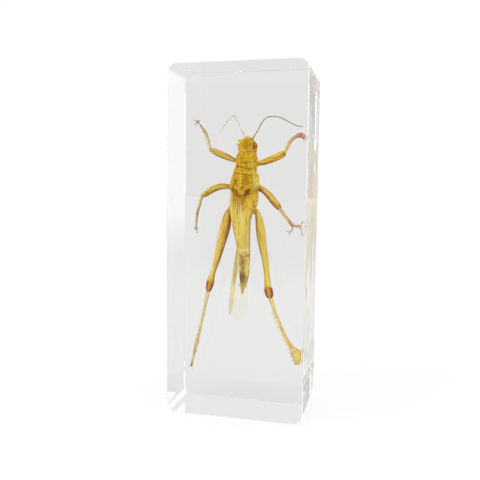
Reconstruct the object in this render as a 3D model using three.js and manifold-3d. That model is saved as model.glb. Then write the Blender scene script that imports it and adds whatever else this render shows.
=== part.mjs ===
// A grasshopper sealed in a block of clear casting resin. Millimetres, +Z up.
//
// The block stands on one of its small ends, with the origin at the middle of that end.
// X runs across the broad face, and the insect turns its back to the front face, at -Y.
// The resin is parted in two by the plane Y = 0, through the insect, so that each half
// holds its share of the pocket. The insect is one solid: its wings, legs, feelers,
// spines and claws are fused to the body that they grow from.

import * as THREE from "three";
import { mergeVertices } from "three/addons/utils/BufferGeometryUtils.js";
import Module from "manifold-3d";

const wasm = await Module();
wasm.setup();

// ---------------------------------------------------------------- driving dimensions

const BLOCK_WIDTH = 44;
const BLOCK_DEPTH = 28;
const BLOCK_HEIGHT = 110;
const CORNER_RADIUS = 3.2; // the four corners of the broad faces
const EDGE_RADIUS = 1.5; // the moulded edges round the broad faces
const POCKET_GAP = 0.35; // free space between the insect and the resin

const RING_BULGE = 0.06; // how much wider each ring of the abdomen is at its middle
const SPINE_LENGTH = 1.6;
const SPINE_RADIUS = 0.14;
const CLAW_RADIUS = 0.16;

const FRONT = new THREE.Vector3(0, -1, 0);

// Sides of the polygons that stand for round sections, and how many rows of facets
// there are from one station of a line to the next.
const INSECT_DETAIL = {
  trunk: { sides: 10, rows: 1 },
  thigh: { sides: 8, rows: 1 },
  limb: { sides: 6, rows: 1 },
  wing: { sides: 6, rows: 1 },
  feeler: { sides: 4, rows: 1 },
  lump: { sides: 8, rows: 6 },
};
const POCKET_DETAIL = {
  trunk: { sides: 6, rows: 1 },
  thigh: { sides: 4, rows: 1 },
  limb: { sides: 4, rows: 1 },
  wing: { sides: 4, rows: 1 },
  feeler: { sides: 4, rows: 1 },
  lump: { sides: 6, rows: 4 },
};
const SPIKE_SIDES = 3;

// Lines of the insect. Each station is [x, y, z, half width, half depth], in the
// block's frame; the width lies across the broad face and the depth through it.

const PRONOTUM = [
  [1.6, 1.0, 84.0, 3.2, 3.6],
  [1.45, 1.05, 81.5, 3.4, 3.9],
  [1.3, 1.1, 79.4, 3.4, 3.95],
  [0.9, 1.2, 76.8, 3.9, 4.15],
  [0.65, 1.3, 73.3, 4.5, 4.4],
  [0.5, 1.4, 69.6, 4.55, 4.3],
];
const KEEL = [
  [1.55, -2.55, 83.7, 0.25, 0.2],
  [1.25, -2.85, 79.0, 0.25, 0.2],
  [0.65, -3.1, 73.3, 0.3, 0.2],
  [0.5, -2.95, 70.0, 0.25, 0.2],
];
const THORAX = [
  [0.6, 1.7, 75.0, 3.9, 4.0],
  [0.6, 1.8, 70.0, 4.6, 4.2],
  [0.5, 1.9, 66.5, 4.2, 3.9],
  [0.4, 1.7, 63.8, 3.1, 3.2],
  [0.35, 1.5, 61.5, 2.3, 2.5],
];
const ABDOMEN = [
  [0.3, 1.5, 63.5, 2.55, 2.7],
  [0.35, 1.4, 60.3, 2.4, 2.55],
  [0.5, 1.25, 57.1, 2.25, 2.4],
  [0.65, 1.1, 53.9, 2.1, 2.25],
  [0.85, 0.95, 50.7, 1.95, 2.1],
  [1.0, 0.85, 47.5, 1.8, 1.95],
  [1.1, 0.7, 44.4, 1.7, 1.8],
  [1.0, 0.6, 41.6, 1.25, 1.4],
];
const TAIL = [
  [0.95, 0.6, 42.0, 1.2, 1.3],
  [0.7, 0.5, 39.8, 0.7, 0.8],
  [0.45, 0.4, 37.7, 0.15, 0.2],
];

const WINGS = {
  upperForewing: [
    [-2.5, -1.6, 70.5, 1.3, 0.6],
    [-1.7, -2.5, 66.0, 2.2, 0.35],
    [-0.4, -2.6, 60.0, 2.15, 0.3],
    [0.75, -2.3, 54.0, 1.85, 0.3],
    [1.4, -1.9, 48.0, 1.45, 0.3],
    [1.8, -1.6, 43.0, 0.95, 0.28],
    [1.9, -1.45, 40.6, 0.25, 0.2],
  ],
  lowerForewing: [
    [3.4, -1.2, 70.5, 1.3, 0.6],
    [1.9, -2.0, 65.5, 1.9, 0.35],
    [0.6, -2.0, 58.0, 1.8, 0.3],
    [-0.7, -1.7, 50.5, 1.35, 0.3],
    [-2.1, -1.4, 42.5, 0.95, 0.28],
    [-3.4, -1.1, 35.0, 0.7, 0.25],
    [-3.8, -1.0, 31.6, 0.25, 0.2],
  ],
  hindwings: [
    [0.2, -1.3, 66.0, 2.6, 0.4],
    [-0.3, -1.2, 52.0, 2.1, 0.3],
    [-0.7, -1.0, 42.0, 2.6, 0.25],
    [-0.9, -0.9, 35.0, 2.9, 0.25],
    [-0.9, -0.9, 31.0, 2.3, 0.25],
    [-0.9, -0.9, 29.2, 0.6, 0.2],
  ],
};

const FEELERS = {
  left: [
    [1.3, -1.2, 87.6, 0.34, 0.34],
    [0.2, -1.9, 89.8, 0.24, 0.24],
    [-0.8, -2.3, 91.8, 0.22, 0.22],
    [-2.1, -2.7, 94.3, 0.22, 0.22],
    [-2.6, -2.7, 94.4, 0.22, 0.22],
    [-4.6, -2.2, 92.8, 0.2, 0.2],
    [-6.1, -1.7, 90.9, 0.18, 0.18],
    [-7.4, -1.2, 89.1, 0.15, 0.15],
  ],
  right: [
    [3.3, -1.2, 87.3, 0.34, 0.34],
    [4.4, -1.7, 88.9, 0.24, 0.24],
    [5.6, -2.1, 90.5, 0.24, 0.24],
    [7.2, -2.4, 93.1, 0.22, 0.22],
    [8.9, -2.5, 94.1, 0.22, 0.22],
    [12.2, -2.0, 93.8, 0.2, 0.2],
    [14.9, -1.4, 92.5, 0.2, 0.2],
    [17.3, -0.8, 91.4, 0.18, 0.18],
    [19.2, -0.1, 91.2, 0.15, 0.15],
  ],
};

// Each leg has a hip, thigh, shin and foot. Claws and spurs go from a point on the foot
// or shin to their own tip.
const LEGS = {
  frontLeft: {
    hip: [
      [-0.4, 3.6, 80.2, 1.0, 1.1],
      [-2.7, 2.1, 80.8, 0.7, 0.7],
    ],
    thigh: [
      [-2.4, 2.3, 80.7, 0.6, 0.6],
      [-4.9, 1.2, 81.8, 0.95, 0.8],
      [-7.0, 0.6, 82.7, 1.05, 0.8],
      [-9.0, 0.1, 83.6, 0.95, 0.75],
      [-10.3, -0.2, 84.2, 0.6, 0.6],
    ],
    shin: [
      [-10.2, -0.2, 84.0, 0.5, 0.5],
      [-11.0, 0.1, 86.4, 0.45, 0.42],
      [-11.8, 0.5, 88.7, 0.45, 0.42],
      [-13.2, 1.0, 91.0, 0.42, 0.4],
    ],
    foot: [
      [-13.1, 1.0, 90.8, 0.34, 0.32],
      [-14.4, 1.3, 92.3, 0.34, 0.32],
      [-15.5, 1.5, 93.4, 0.42, 0.35],
    ],
    tips: [
      [-15.3, 1.5, 93.3, -14.2, 1.7, 93.3],
      [-15.3, 1.5, 93.3, -15.7, 1.7, 91.9],
      [-15.4, 1.5, 93.3, -16.4, 1.4, 93.4],
    ],
  },
  frontRight: {
    hip: [
      [2.9, 3.6, 79.6, 1.0, 1.1],
      [4.9, 2.1, 79.9, 0.7, 0.7],
    ],
    thigh: [
      [4.6, 2.3, 79.8, 0.6, 0.6],
      [7.2, 1.2, 80.4, 0.95, 0.8],
      [9.8, 0.6, 81.3, 1.1, 0.85],
      [12.2, 0.0, 82.3, 1.0, 0.8],
      [13.5, -0.2, 82.9, 0.7, 0.65],
    ],
    shin: [
      [13.3, -0.2, 82.8, 0.55, 0.5],
      [14.4, 0.0, 84.8, 0.5, 0.45],
      [15.3, 0.2, 86.6, 0.5, 0.45],
      [17.1, 0.4, 88.3, 0.55, 0.5],
    ],
    foot: [
      [16.8, 0.4, 88.1, 0.5, 0.45],
      [18.0, 1.2, 88.6, 0.62, 0.55],
      [18.9, 2.6, 88.3, 0.6, 0.55],
      [19.3, 3.6, 87.6, 0.4, 0.4],
    ],
    tips: [
      [19.2, 3.4, 87.7, 19.9, 4.0, 86.9],
      [19.2, 3.4, 87.7, 18.9, 4.6, 86.9],
    ],
  },
  middleLeft: {
    hip: [
      [-2.2, 3.8, 72.0, 1.1, 1.1],
      [-4.6, 2.3, 72.5, 0.8, 0.8],
    ],
    thigh: [
      [-4.2, 2.5, 72.4, 0.7, 0.7],
      [-7.0, 1.4, 72.5, 0.95, 0.8],
      [-9.2, 0.7, 71.8, 1.0, 0.8],
      [-11.7, 0.0, 70.3, 0.9, 0.75],
      [-13.1, -0.2, 69.4, 0.6, 0.6],
    ],
    shin: [
      [-12.9, -0.2, 69.7, 0.5, 0.5],
      [-13.9, 0.1, 66.8, 0.46, 0.42],
      [-15.0, 0.9, 62.9, 0.42, 0.4],
    ],
    foot: [
      [-15.0, 0.9, 63.2, 0.36, 0.34],
      [-15.4, 1.4, 60.0, 0.34, 0.32],
      [-15.5, 1.8, 58.2, 0.4, 0.35],
    ],
    tips: [
      [-15.4, 1.7, 58.4, -16.2, 1.9, 59.4],
      [-15.4, 1.7, 58.4, -14.6, 1.9, 58.9],
      [-15.4, 1.7, 58.4, -15.0, 1.9, 57.1],
    ],
  },
  middleRight: {
    hip: [
      [3.4, 3.8, 72.4, 1.1, 1.1],
      [5.9, 2.3, 72.0, 0.95, 0.9],
    ],
    thigh: [
      [5.6, 2.4, 72.0, 0.9, 0.85],
      [7.0, 1.6, 71.5, 0.8, 0.75],
      [9.6, 0.6, 69.0, 1.1, 0.85],
      [11.4, 0.0, 66.9, 0.95, 0.75],
      [12.5, -0.2, 65.6, 0.6, 0.6],
    ],
    shin: [
      [12.3, -0.2, 65.8, 0.5, 0.5],
      [14.5, 0.2, 63.0, 0.42, 0.4],
      [16.6, 0.9, 60.4, 0.55, 0.45],
    ],
    foot: [
      [16.3, 0.9, 60.5, 0.45, 0.4],
      [17.6, 1.3, 60.2, 0.38, 0.34],
      [18.9, 1.5, 60.2, 0.42, 0.35],
    ],
    tips: [
      [18.8, 1.5, 60.2, 19.8, 1.9, 62.1],
      [18.8, 1.5, 60.2, 19.6, 1.9, 57.2],
      [16.4, 1.0, 60.5, 14.4, 1.8, 57.9],
      [16.4, 1.0, 60.5, 15.1, 1.9, 56.9],
    ],
  },
  hindLeft: {
    hip: [
      [-2.0, 3.6, 67.2, 1.6, 1.5],
      [-4.2, 2.1, 65.0, 1.0, 1.0],
    ],
    thigh: [
      [-4.0, 2.1, 65.3, 0.7, 0.8],
      [-4.8, 1.5, 63.0, 1.3, 1.1],
      [-5.5, 1.1, 59.6, 1.66, 1.2],
      [-6.6, 0.7, 55.0, 1.46, 1.05],
      [-8.0, 0.4, 49.2, 1.05, 0.9],
      [-9.7, 0.0, 43.0, 0.85, 0.8],
      [-10.2, 0.0, 40.9, 1.25, 1.0],
      [-10.5, 0.0, 39.6, 1.25, 1.0],
      [-10.8, 0.0, 38.4, 0.7, 0.7],
    ],
    shin: [
      [-10.7, 0.0, 39.4, 0.6, 0.55],
      [-12.4, 0.5, 31.5, 0.5, 0.45],
      [-14.1, 1.1, 24.2, 0.5, 0.45],
      [-15.2, 1.5, 19.8, 0.62, 0.5],
      [-15.6, 1.6, 18.2, 0.45, 0.4],
    ],
    foot: [
      [-15.5, 1.6, 18.6, 0.4, 0.38],
      [-16.3, 1.8, 15.2, 0.36, 0.34],
      [-17.0, 2.0, 12.4, 0.36, 0.34],
    ],
    tips: [
      [-16.9, 1.9, 12.6, -17.8, 2.2, 11.8],
      [-16.9, 1.9, 12.6, -16.2, 2.2, 11.6],
      [-15.4, 1.5, 18.9, -14.6, 0.8, 17.6],
    ],
    spines: { count: 8, lean: [new THREE.Vector3(-0.5, -1, 0), new THREE.Vector3(0.45, -1, 0)] },
  },
  hindRight: {
    hip: [
      [2.9, 3.6, 66.8, 1.6, 1.5],
      [4.6, 2.1, 64.8, 1.0, 1.0],
    ],
    thigh: [
      [4.5, 2.1, 65.1, 0.8, 0.8],
      [5.4, 1.6, 62.8, 1.1, 1.0],
      [6.0, 1.2, 59.6, 1.4, 1.15],
      [6.6, 0.8, 55.6, 1.4, 1.1],
      [7.6, 0.5, 50.5, 1.07, 0.9],
      [8.6, 0.0, 43.4, 0.87, 0.8],
      [9.0, 0.0, 40.8, 1.2, 1.0],
      [9.4, 0.0, 38.6, 1.3, 1.0],
      [9.8, 0.0, 37.0, 0.7, 0.7],
    ],
    shin: [
      [9.6, 0.0, 38.4, 0.6, 0.55],
      [11.1, 0.3, 33.3, 0.5, 0.45],
      [12.7, 0.5, 29.4, 0.48, 0.42],
      [14.8, 0.8, 24.8, 0.46, 0.42],
      [16.9, 1.0, 21.1, 0.62, 0.5],
    ],
    foot: [
      [16.6, 1.0, 21.7, 0.6, 0.5],
      [17.8, 1.3, 19.6, 1.3, 0.65],
      [18.5, 1.6, 17.6, 1.25, 0.65],
      [18.9, 1.8, 16.0, 0.6, 0.4],
    ],
    tips: [
      [18.5, 1.7, 16.8, 18.2, 2.0, 15.2],
      [18.8, 1.7, 16.8, 19.5, 2.0, 15.4],
      [18.0, 1.3, 19.6, 20.2, 1.6, 20.4],
    ],
    spines: { count: 9, lean: [new THREE.Vector3(-1, -0.1, 0), new THREE.Vector3(-0.7, -0.8, 0)] },
  },
};

// Rounded lumps: [x, y, z, half width, half depth, half height].
const SKULL = [1.5, 1.1, 84.9, 3.1, 4.2, 3.0];
const BROW = [1.95, -1.1, 86.8, 1.35, 1.3, 1.5];
const FACE = [1.85, 1.8, 86.0, 1.9, 3.6, 1.7];
const MOUTH = [1.75, 5.2, 84.6, 1.6, 1.3, 1.8];
const EYES = [
  [-0.7, -0.4, 86.0, 1.05, 1.5, 1.4],
  [3.75, -0.4, 85.4, 1.05, 1.5, 1.5],
];

// ---------------------------------------------------------------------- making solids

// A closed three.js geometry as a manifold-3d solid.
function solidOf(geometry) {
  const bare = geometry.clone();
  bare.deleteAttribute("normal");
  bare.deleteAttribute("uv");
  const merged = mergeVertices(bare, 1e-4);
  const { Manifold, Mesh } = wasm;
  return new Manifold(
    new Mesh({
      numProp: 3,
      vertProperties: new Float32Array(merged.attributes.position.array),
      triVerts: new Uint32Array(merged.index.array),
    }),
  );
}

function fuse(solids) {
  return solids.reduce((whole, piece) => whole.add(piece));
}

// A smooth curve through one triple of numbers in each station: its place, or its sizes.
function curveOf(triples) {
  const points = triples.map(([x, y, z]) => new THREE.Vector3(x, y, z));
  return new THREE.CatmullRomCurve3(points, false, "centripetal");
}

// How far out the corners of a polygon lie whose flats touch a circle of radius 1.
function cornerReach(sides) {
  return 1 / Math.cos(Math.PI / sides);
}

// An ellipse carried along the smooth line through the stations, closed at both ends.
// With a gap it is the space round that shape: its flats then clear the shape by the gap.
function member(stations, { sides, rows }, gap = 0, swell = () => 1) {
  const line = curveOf(stations);
  const sizes = curveOf(stations.map(([, , , width, depth]) => [width, depth, 0]));
  const reach = gap > 0 ? cornerReach(sides) : 1;
  const allRows = rows * (stations.length - 1);
  const geometry = new THREE.CylinderGeometry(1, 1, 1, sides, allRows, false, Math.PI / 2);
  const place = geometry.attributes.position;
  for (let i = 0; i < place.count; i++) {
    const t = THREE.MathUtils.clamp(0.5 - place.getY(i), 0, 1);
    const along = line.getTangent(t);
    const across = new THREE.Vector3().crossVectors(along, FRONT).normalize();
    const deep = new THREE.Vector3().crossVectors(along, across);
    const size = sizes.getPoint(t).multiplyScalar(swell(t)).addScalar(gap);
    const beyond = { 0: -gap, 1: gap }[t] ?? 0;
    const point = line
      .getPoint(t)
      .addScaledVector(along, beyond)
      .addScaledVector(across, place.getX(i) * size.x * reach)
      .addScaledVector(deep, place.getZ(i) * size.y * reach);
    place.setXYZ(i, point.x, point.y, point.z);
  }
  return solidOf(geometry);
}

// A rounded lump, or with a gap the space round it.
function lump([x, y, z, halfWidth, halfDepth, halfHeight], { sides, rows }, gap = 0) {
  const reach = gap > 0 ? cornerReach(sides) * cornerReach(2 * rows) : 1;
  const geometry = new THREE.SphereGeometry(reach, sides, rows)
    .rotateX(Math.PI / 2)
    .scale(halfWidth + gap, halfDepth + gap, halfHeight + gap)
    .translate(x, y, z);
  return solidOf(geometry);
}

function boxSolid(bounds) {
  const size = bounds.getSize(new THREE.Vector3());
  const middle = bounds.getCenter(new THREE.Vector3());
  return solidOf(new THREE.BoxGeometry(...size).translate(...middle));
}

// A small pointed spine, from the middle of its foot to its tip.
function spike(foot, tip, radius) {
  const along = new THREE.Vector3().subVectors(tip, foot);
  const geometry = new THREE.ConeGeometry(radius, along.length(), SPIKE_SIDES)
    .translate(0, along.length() / 2, 0)
    .applyQuaternion(
      new THREE.Quaternion().setFromUnitVectors(
        new THREE.Vector3(0, 1, 0),
        along.clone().normalize(),
      ),
    )
    .translate(foot.x, foot.y, foot.z);
  return solidOf(geometry);
}

// -------------------------------------------------------------------------- the insect

// The abdomen has one ring from one station to the next, a little wider at its middle,
// where two rows of facets meet.
function abdomen() {
  const { sides } = INSECT_DETAIL.trunk;
  const rings = ABDOMEN.length - 1;
  const bulge = (t) => 1 + RING_BULGE * Math.sin(Math.PI * rings * t) ** 2;
  return member(ABDOMEN, { sides, rows: 2 }, 0, bulge);
}

// The pieces of the body that the insect and its pocket make alike. The keel is thinner
// than the gap, so that it needs no space of its own.
function bodyPieces(detail, gap = 0) {
  return [
    ...[PRONOTUM, THORAX, TAIL].map((line) => member(line, detail.trunk, gap)),
    ...[SKULL, BROW, FACE, MOUTH, ...EYES].map((shape) => lump(shape, detail.lump, gap)),
    ...Object.values(WINGS).map((line) => member(line, detail.wing, gap)),
    ...Object.values(FEELERS).map((line) => member(line, detail.feeler, gap)),
  ];
}

// Two rows of spines on the lower two thirds of a hind shin, leaning towards the foot.
function shinSpines(shin, { count, lean }) {
  const line = curveOf(shin);
  return lean.flatMap((side) =>
    Array.from({ length: count }, (_, i) => {
      const t = 0.3 + (0.66 * i) / (count - 1);
      const foot = line.getPoint(t);
      const reach = line.getTangent(t).add(side.clone().normalize()).normalize();
      return spike(foot, foot.clone().addScaledVector(reach, SPINE_LENGTH), SPINE_RADIUS);
    }),
  );
}

function leg({ hip, thigh, shin, foot, tips, spines }) {
  const solids = [
    ...[hip, shin, foot].map((line) => member(line, INSECT_DETAIL.limb)),
    member(thigh, INSECT_DETAIL.thigh),
    ...tips.map(([x, y, z, ...tip]) =>
      spike(new THREE.Vector3(x, y, z), new THREE.Vector3(...tip), CLAW_RADIUS),
    ),
  ];
  return spines ? [...solids, ...shinSpines(shin, spines)] : solids;
}

// The space that a leg needs: its own limbs, with room for the spines of a hind shin,
// and a plain box round all its claws and spurs.
function legPocket({ hip, thigh, shin, foot, tips, spines }) {
  const room = spines ? 0.8 * SPINE_LENGTH : 0;
  const ends = tips.flatMap(([x, y, z, ...tip]) => [
    new THREE.Vector3(x, y, z),
    new THREE.Vector3(...tip),
  ]);
  return [
    ...[hip, foot].map((line) => member(line, POCKET_DETAIL.limb, POCKET_GAP)),
    member(thigh, POCKET_DETAIL.thigh, POCKET_GAP),
    member(shin, POCKET_DETAIL.limb, POCKET_GAP + room),
    boxSolid(new THREE.Box3().setFromPoints(ends).expandByScalar(CLAW_RADIUS + POCKET_GAP)),
  ];
}

function grasshopper() {
  return fuse([
    ...bodyPieces(INSECT_DETAIL),
    member(KEEL, INSECT_DETAIL.limb),
    abdomen(),
    ...Object.values(LEGS).flatMap(leg),
  ]);
}

function pocket() {
  return fuse([
    ...bodyPieces(POCKET_DETAIL, POCKET_GAP),
    member(ABDOMEN, POCKET_DETAIL.trunk, POCKET_GAP + RING_BULGE * ABDOMEN[0][3]),
    ...Object.values(LEGS).flatMap(legPocket),
  ]);
}

// --------------------------------------------------------------------------- the block

// The moulded block: a broad face with round corners, and round edges front and back.
function block() {
  const halfWidth = BLOCK_WIDTH / 2;
  const r = CORNER_RADIUS;
  const face = new THREE.Shape()
    .moveTo(-halfWidth + r, 0)
    .lineTo(halfWidth - r, 0)
    .absarc(halfWidth - r, r, r, -Math.PI / 2, 0)
    .lineTo(halfWidth, BLOCK_HEIGHT - r)
    .absarc(halfWidth - r, BLOCK_HEIGHT - r, r, 0, Math.PI / 2)
    .lineTo(-halfWidth + r, BLOCK_HEIGHT)
    .absarc(-halfWidth + r, BLOCK_HEIGHT - r, r, Math.PI / 2, Math.PI)
    .lineTo(-halfWidth, r)
    .absarc(-halfWidth + r, r, r, Math.PI, 1.5 * Math.PI);
  const geometry = new THREE.ExtrudeGeometry(face, {
    depth: BLOCK_DEPTH - 2 * EDGE_RADIUS,
    bevelThickness: EDGE_RADIUS,
    bevelSize: EDGE_RADIUS,
    bevelOffset: -EDGE_RADIUS,
    bevelSegments: 3,
    curveSegments: 5,
  })
    .translate(0, 0, EDGE_RADIUS - BLOCK_DEPTH / 2)
    .rotateX(Math.PI / 2);
  return solidOf(geometry);
}

// A box that holds the whole front or back of the block, up to the parting plane.
function sideOfParting(direction) {
  const margin = 5;
  const depth = BLOCK_DEPTH / 2 + margin;
  const bounds = new THREE.Box3().setFromCenterAndSize(
    new THREE.Vector3(0, (direction * depth) / 2, BLOCK_HEIGHT / 2),
    new THREE.Vector3(BLOCK_WIDTH + 2 * margin, depth, BLOCK_HEIGHT + 2 * margin),
  );
  return boxSolid(bounds);
}

// One half of the resin. Slivers that the pocket cuts free between limbs are dropped.
function half(direction) {
  const bodies = block().intersect(sideOfParting(direction)).subtract(pocket()).decompose();
  return bodies.reduce((a, b) => (a.volume() > b.volume() ? a : b));
}

// --------------------------------------------------------------------------- the scene

function meshOf(solid, name, material) {
  const { vertProperties, triVerts } = solid.getMesh();
  const geometry = new THREE.BufferGeometry();
  geometry.setAttribute("position", new THREE.BufferAttribute(vertProperties, 3));
  geometry.setIndex(new THREE.BufferAttribute(triVerts, 1));
  geometry.computeVertexNormals();
  const mesh = new THREE.Mesh(geometry, material);
  mesh.name = name;
  return mesh;
}

function resin() {
  return new THREE.MeshStandardMaterial({
    color: 0xeceeec,
    roughness: 0.05,
    metalness: 0,
    transparent: true,
    opacity: 0.25,
  });
}

const chitin = new THREE.MeshStandardMaterial({ color: 0xc99a2e, roughness: 0.45, metalness: 0 });

const specimen = new THREE.Group();
specimen.add(meshOf(grasshopper(), "grasshopper", chitin));
specimen.add(meshOf(half(-1), "resin_front", resin()));
specimen.add(meshOf(half(1), "resin_back", resin()));

export default specimen;
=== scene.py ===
"""Studio scene of a grasshopper cast in an upright block of clear resin.

Every shape is worked out in millimetres as whole numpy arrays and becomes metres when
it is written into a mesh. X runs across the broad face of the block, Y into it and Z up.
The insect turns its back to the front face, at -Y.
"""

from __future__ import annotations

import logging
import math
from dataclasses import dataclass
from enum import Enum
from typing import Any, Callable, Mapping, Sequence

import bpy
import numpy as np
from mathutils import Matrix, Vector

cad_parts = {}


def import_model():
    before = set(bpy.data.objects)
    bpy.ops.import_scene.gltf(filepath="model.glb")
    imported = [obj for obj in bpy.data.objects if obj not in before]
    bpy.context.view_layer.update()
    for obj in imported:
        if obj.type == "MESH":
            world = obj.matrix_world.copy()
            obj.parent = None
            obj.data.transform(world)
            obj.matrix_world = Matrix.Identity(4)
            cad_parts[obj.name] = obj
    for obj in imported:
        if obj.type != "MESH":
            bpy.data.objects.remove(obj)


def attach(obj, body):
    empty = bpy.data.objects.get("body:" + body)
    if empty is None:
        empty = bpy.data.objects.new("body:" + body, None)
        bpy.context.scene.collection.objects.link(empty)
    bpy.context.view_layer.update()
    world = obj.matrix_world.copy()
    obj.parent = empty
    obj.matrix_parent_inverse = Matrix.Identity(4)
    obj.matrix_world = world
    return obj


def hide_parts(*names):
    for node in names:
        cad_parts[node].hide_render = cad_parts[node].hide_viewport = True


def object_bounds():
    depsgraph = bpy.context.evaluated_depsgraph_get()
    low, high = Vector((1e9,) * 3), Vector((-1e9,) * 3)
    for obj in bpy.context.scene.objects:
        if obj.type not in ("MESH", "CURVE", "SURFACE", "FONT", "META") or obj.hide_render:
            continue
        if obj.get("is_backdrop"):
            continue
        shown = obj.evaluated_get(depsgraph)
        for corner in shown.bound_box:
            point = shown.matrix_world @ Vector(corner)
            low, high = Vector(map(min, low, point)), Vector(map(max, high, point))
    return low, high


LOG = logging.getLogger("specimen")

MM = 0.001
FRONT = np.array([0.0, -1.0, 0.0])
UP = np.array([0.0, 0.0, 1.0])
THINNEST = 0.01
END_RINGS = 6

Colour = tuple[float, float, float]
Stations = Sequence[tuple[float, float, float, float, float]]
Stops = Sequence[tuple[float, float]]
Point = tuple[float, float, float]
Relief = Callable[[np.ndarray, np.ndarray], tuple[np.ndarray, np.ndarray]]


# ------------------------------------------------------------------------ surfaces


@dataclass
class Shell:
    """A closed surface.

    Attributes:
        points: One row of x, y, z in millimetres for each vertex.
        quads: Rows of four vertex numbers.
        triangles: Rows of three vertex numbers.
        place: For each vertex, how far across, how deep and how far along it lies.
        tint: For each vertex, from 0 to 1, how much of the second colour it takes.
    """

    points: np.ndarray
    quads: np.ndarray
    triangles: np.ndarray
    place: np.ndarray
    tint: np.ndarray

    def volume(self) -> float:
        """Measure the room inside: a sixth of the sum of all triangles' triple products.

        Returns:
            The volume in cubic millimetres, below 0 where the faces point inwards.
        """
        cut = np.concatenate([self.triangles, self.quads[:, :3], self.quads[:, [0, 2, 3]]])
        a, b, c = (self.points[cut[:, k]] for k in range(3))
        return float(np.einsum("ij,ij->i", a, np.cross(b, c)).sum() / 6)

    def outward(self) -> Shell:
        """Turn the faces outwards.

        Returns:
            The same shell.
        """
        if self.volume() < 0:
            self.quads = self.quads[:, ::-1]
            self.triangles = self.triangles[:, ::-1]
        return self


def joined(shells: Sequence[Shell]) -> Shell:
    """Put several shells into one.

    Args:
        shells: The shells, each closed by itself.

    Returns:
        One shell that holds them all.
    """
    offsets = np.cumsum([0] + [len(shell.points) for shell in shells[:-1]])
    return Shell(
        points=np.concatenate([s.points for s in shells]),
        quads=np.concatenate([s.quads + k for s, k in zip(shells, offsets)]),
        triangles=np.concatenate([s.triangles + k for s, k in zip(shells, offsets)]),
        place=np.concatenate([s.place for s in shells]),
        tint=np.concatenate([s.tint for s in shells]),
    )


def unit(vectors: np.ndarray) -> np.ndarray:
    """Each vector divided by its own length."""
    return vectors / np.maximum(np.linalg.norm(vectors, axis=-1, keepdims=True), 1e-12)


def bump(x: np.ndarray, centre: float | np.ndarray, width: float) -> np.ndarray:
    """A smooth hill of height 1: e to the power of minus (distance over width) squared."""
    return np.exp(-(((x - centre) / width) ** 2))


def wave(x: np.ndarray, y: np.ndarray, seed: float) -> np.ndarray:
    """Smooth unevenness: the mean of four sines of turned directions.

    Args:
        x: First place of each point.
        y: Second place of each point.
        seed: Turns the directions, for another pattern.

    Returns:
        Values from -1 to 1.
    """
    turns = seed + np.array([0.3, 1.9, 3.4, 5.2])
    counts = (1, 1.7, 2.9, 4.3)
    waves = [np.sin(k * (x * np.cos(a) + y * np.sin(a)) + 5 * a) for k, a in zip(counts, turns)]
    return sum(waves) / len(counts)


def grid_faces(rows: int, columns: int, closed: bool) -> np.ndarray:
    """Quads between neighbours on a grid.

    Args:
        rows: Rows of the grid.
        columns: Vertices in each row.
        closed: Whether the last column meets the first one.

    Returns:
        One row of four vertex numbers for each quad.
    """
    i = np.arange(rows - 1)[:, None]
    j = np.arange(columns if closed else columns - 1)[None, :]
    right = (j + 1) % columns
    corners = [i * columns + j, i * columns + right, (i + 1) * columns + right, (i + 1) * columns + j]
    return np.stack(np.broadcast_arrays(*corners), axis=-1).reshape(-1, 4)


def tubes(pieces: int, rows: int, sides: int) -> dict[str, np.ndarray]:
    """Faces of equal tubes, each closed at either end by a pole of its own.

    A tube's points come ring after ring, and its first and its last pole after them.

    Args:
        pieces: How many tubes there are.
        rows: Rings of each tube.
        sides: Points of each ring.

    Returns:
        The quads and the triangles of a shell, by name.
    """
    count = rows * sides
    spin = np.arange(sides)
    after = (spin + 1) % sides
    last = count - sides
    first_fan = np.stack([np.full(sides, count), after, spin], axis=1)
    last_fan = np.stack([np.full(sides, count + 1), last + spin, last + after], axis=1)
    step = (np.arange(pieces) * (count + 2))[:, None, None]
    return {
        "quads": (grid_faces(rows, sides, closed=True) + step).reshape(-1, 4),
        "triangles": (np.concatenate([first_fan, last_fan]) + step).reshape(-1, 3),
    }


def smooth(values: np.ndarray, knots: np.ndarray, t: np.ndarray) -> np.ndarray:
    """Read a smooth curve through all the values.

    Between two knots it is the cubic that has their values and, as slopes, the central
    differences there.

    Args:
        values: One row for each knot.
        knots: Growing parameters of the rows.
        t: Parameters to read at.

    Returns:
        One row for each parameter.
    """
    slopes = np.gradient(values, knots, axis=0)
    i = np.clip(np.searchsorted(knots, t, side="right") - 1, 0, len(knots) - 2)
    step = (knots[i + 1] - knots[i])[:, None]
    s = (t - knots[i])[:, None] / step
    start = (2 * s**3 - 3 * s**2 + 1) * values[i] + (s**3 - 2 * s**2 + s) * step * slopes[i]
    end = (3 * s**2 - 2 * s**3) * values[i + 1] + (s**3 - s**2) * step * slopes[i + 1]
    return start + end


class Run:
    """A smooth line of ellipses through stations [x, y, z, half width, half depth]."""

    def __init__(self, stations: Stations) -> None:
        """Keep the stations.

        Args:
            stations: At least two stations, in millimetres.
        """
        self.table = np.asarray(stations, float)
        steps = np.linalg.norm(np.diff(self.table[:, :3], axis=0), axis=1)
        self.length = float(steps.sum())
        self.knots = np.concatenate([[0], np.cumsum(steps)]) / self.length

    def read(self, t: np.ndarray) -> tuple[np.ndarray, np.ndarray, np.ndarray, np.ndarray]:
        """Read the line.

        Args:
            t: Places along the line, from 0 to 1.

        Returns:
            The centre, the half sizes, and the directions across and deep, at each t.
        """
        centre = smooth(self.table[:, :3], self.knots, t)
        size = np.maximum(smooth(self.table[:, 3:5], self.knots, t), THINNEST)
        along = unit(np.gradient(centre, t, axis=0))
        across = unit(np.cross(along, FRONT))
        return centre, size, across, np.cross(along, across)


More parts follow.
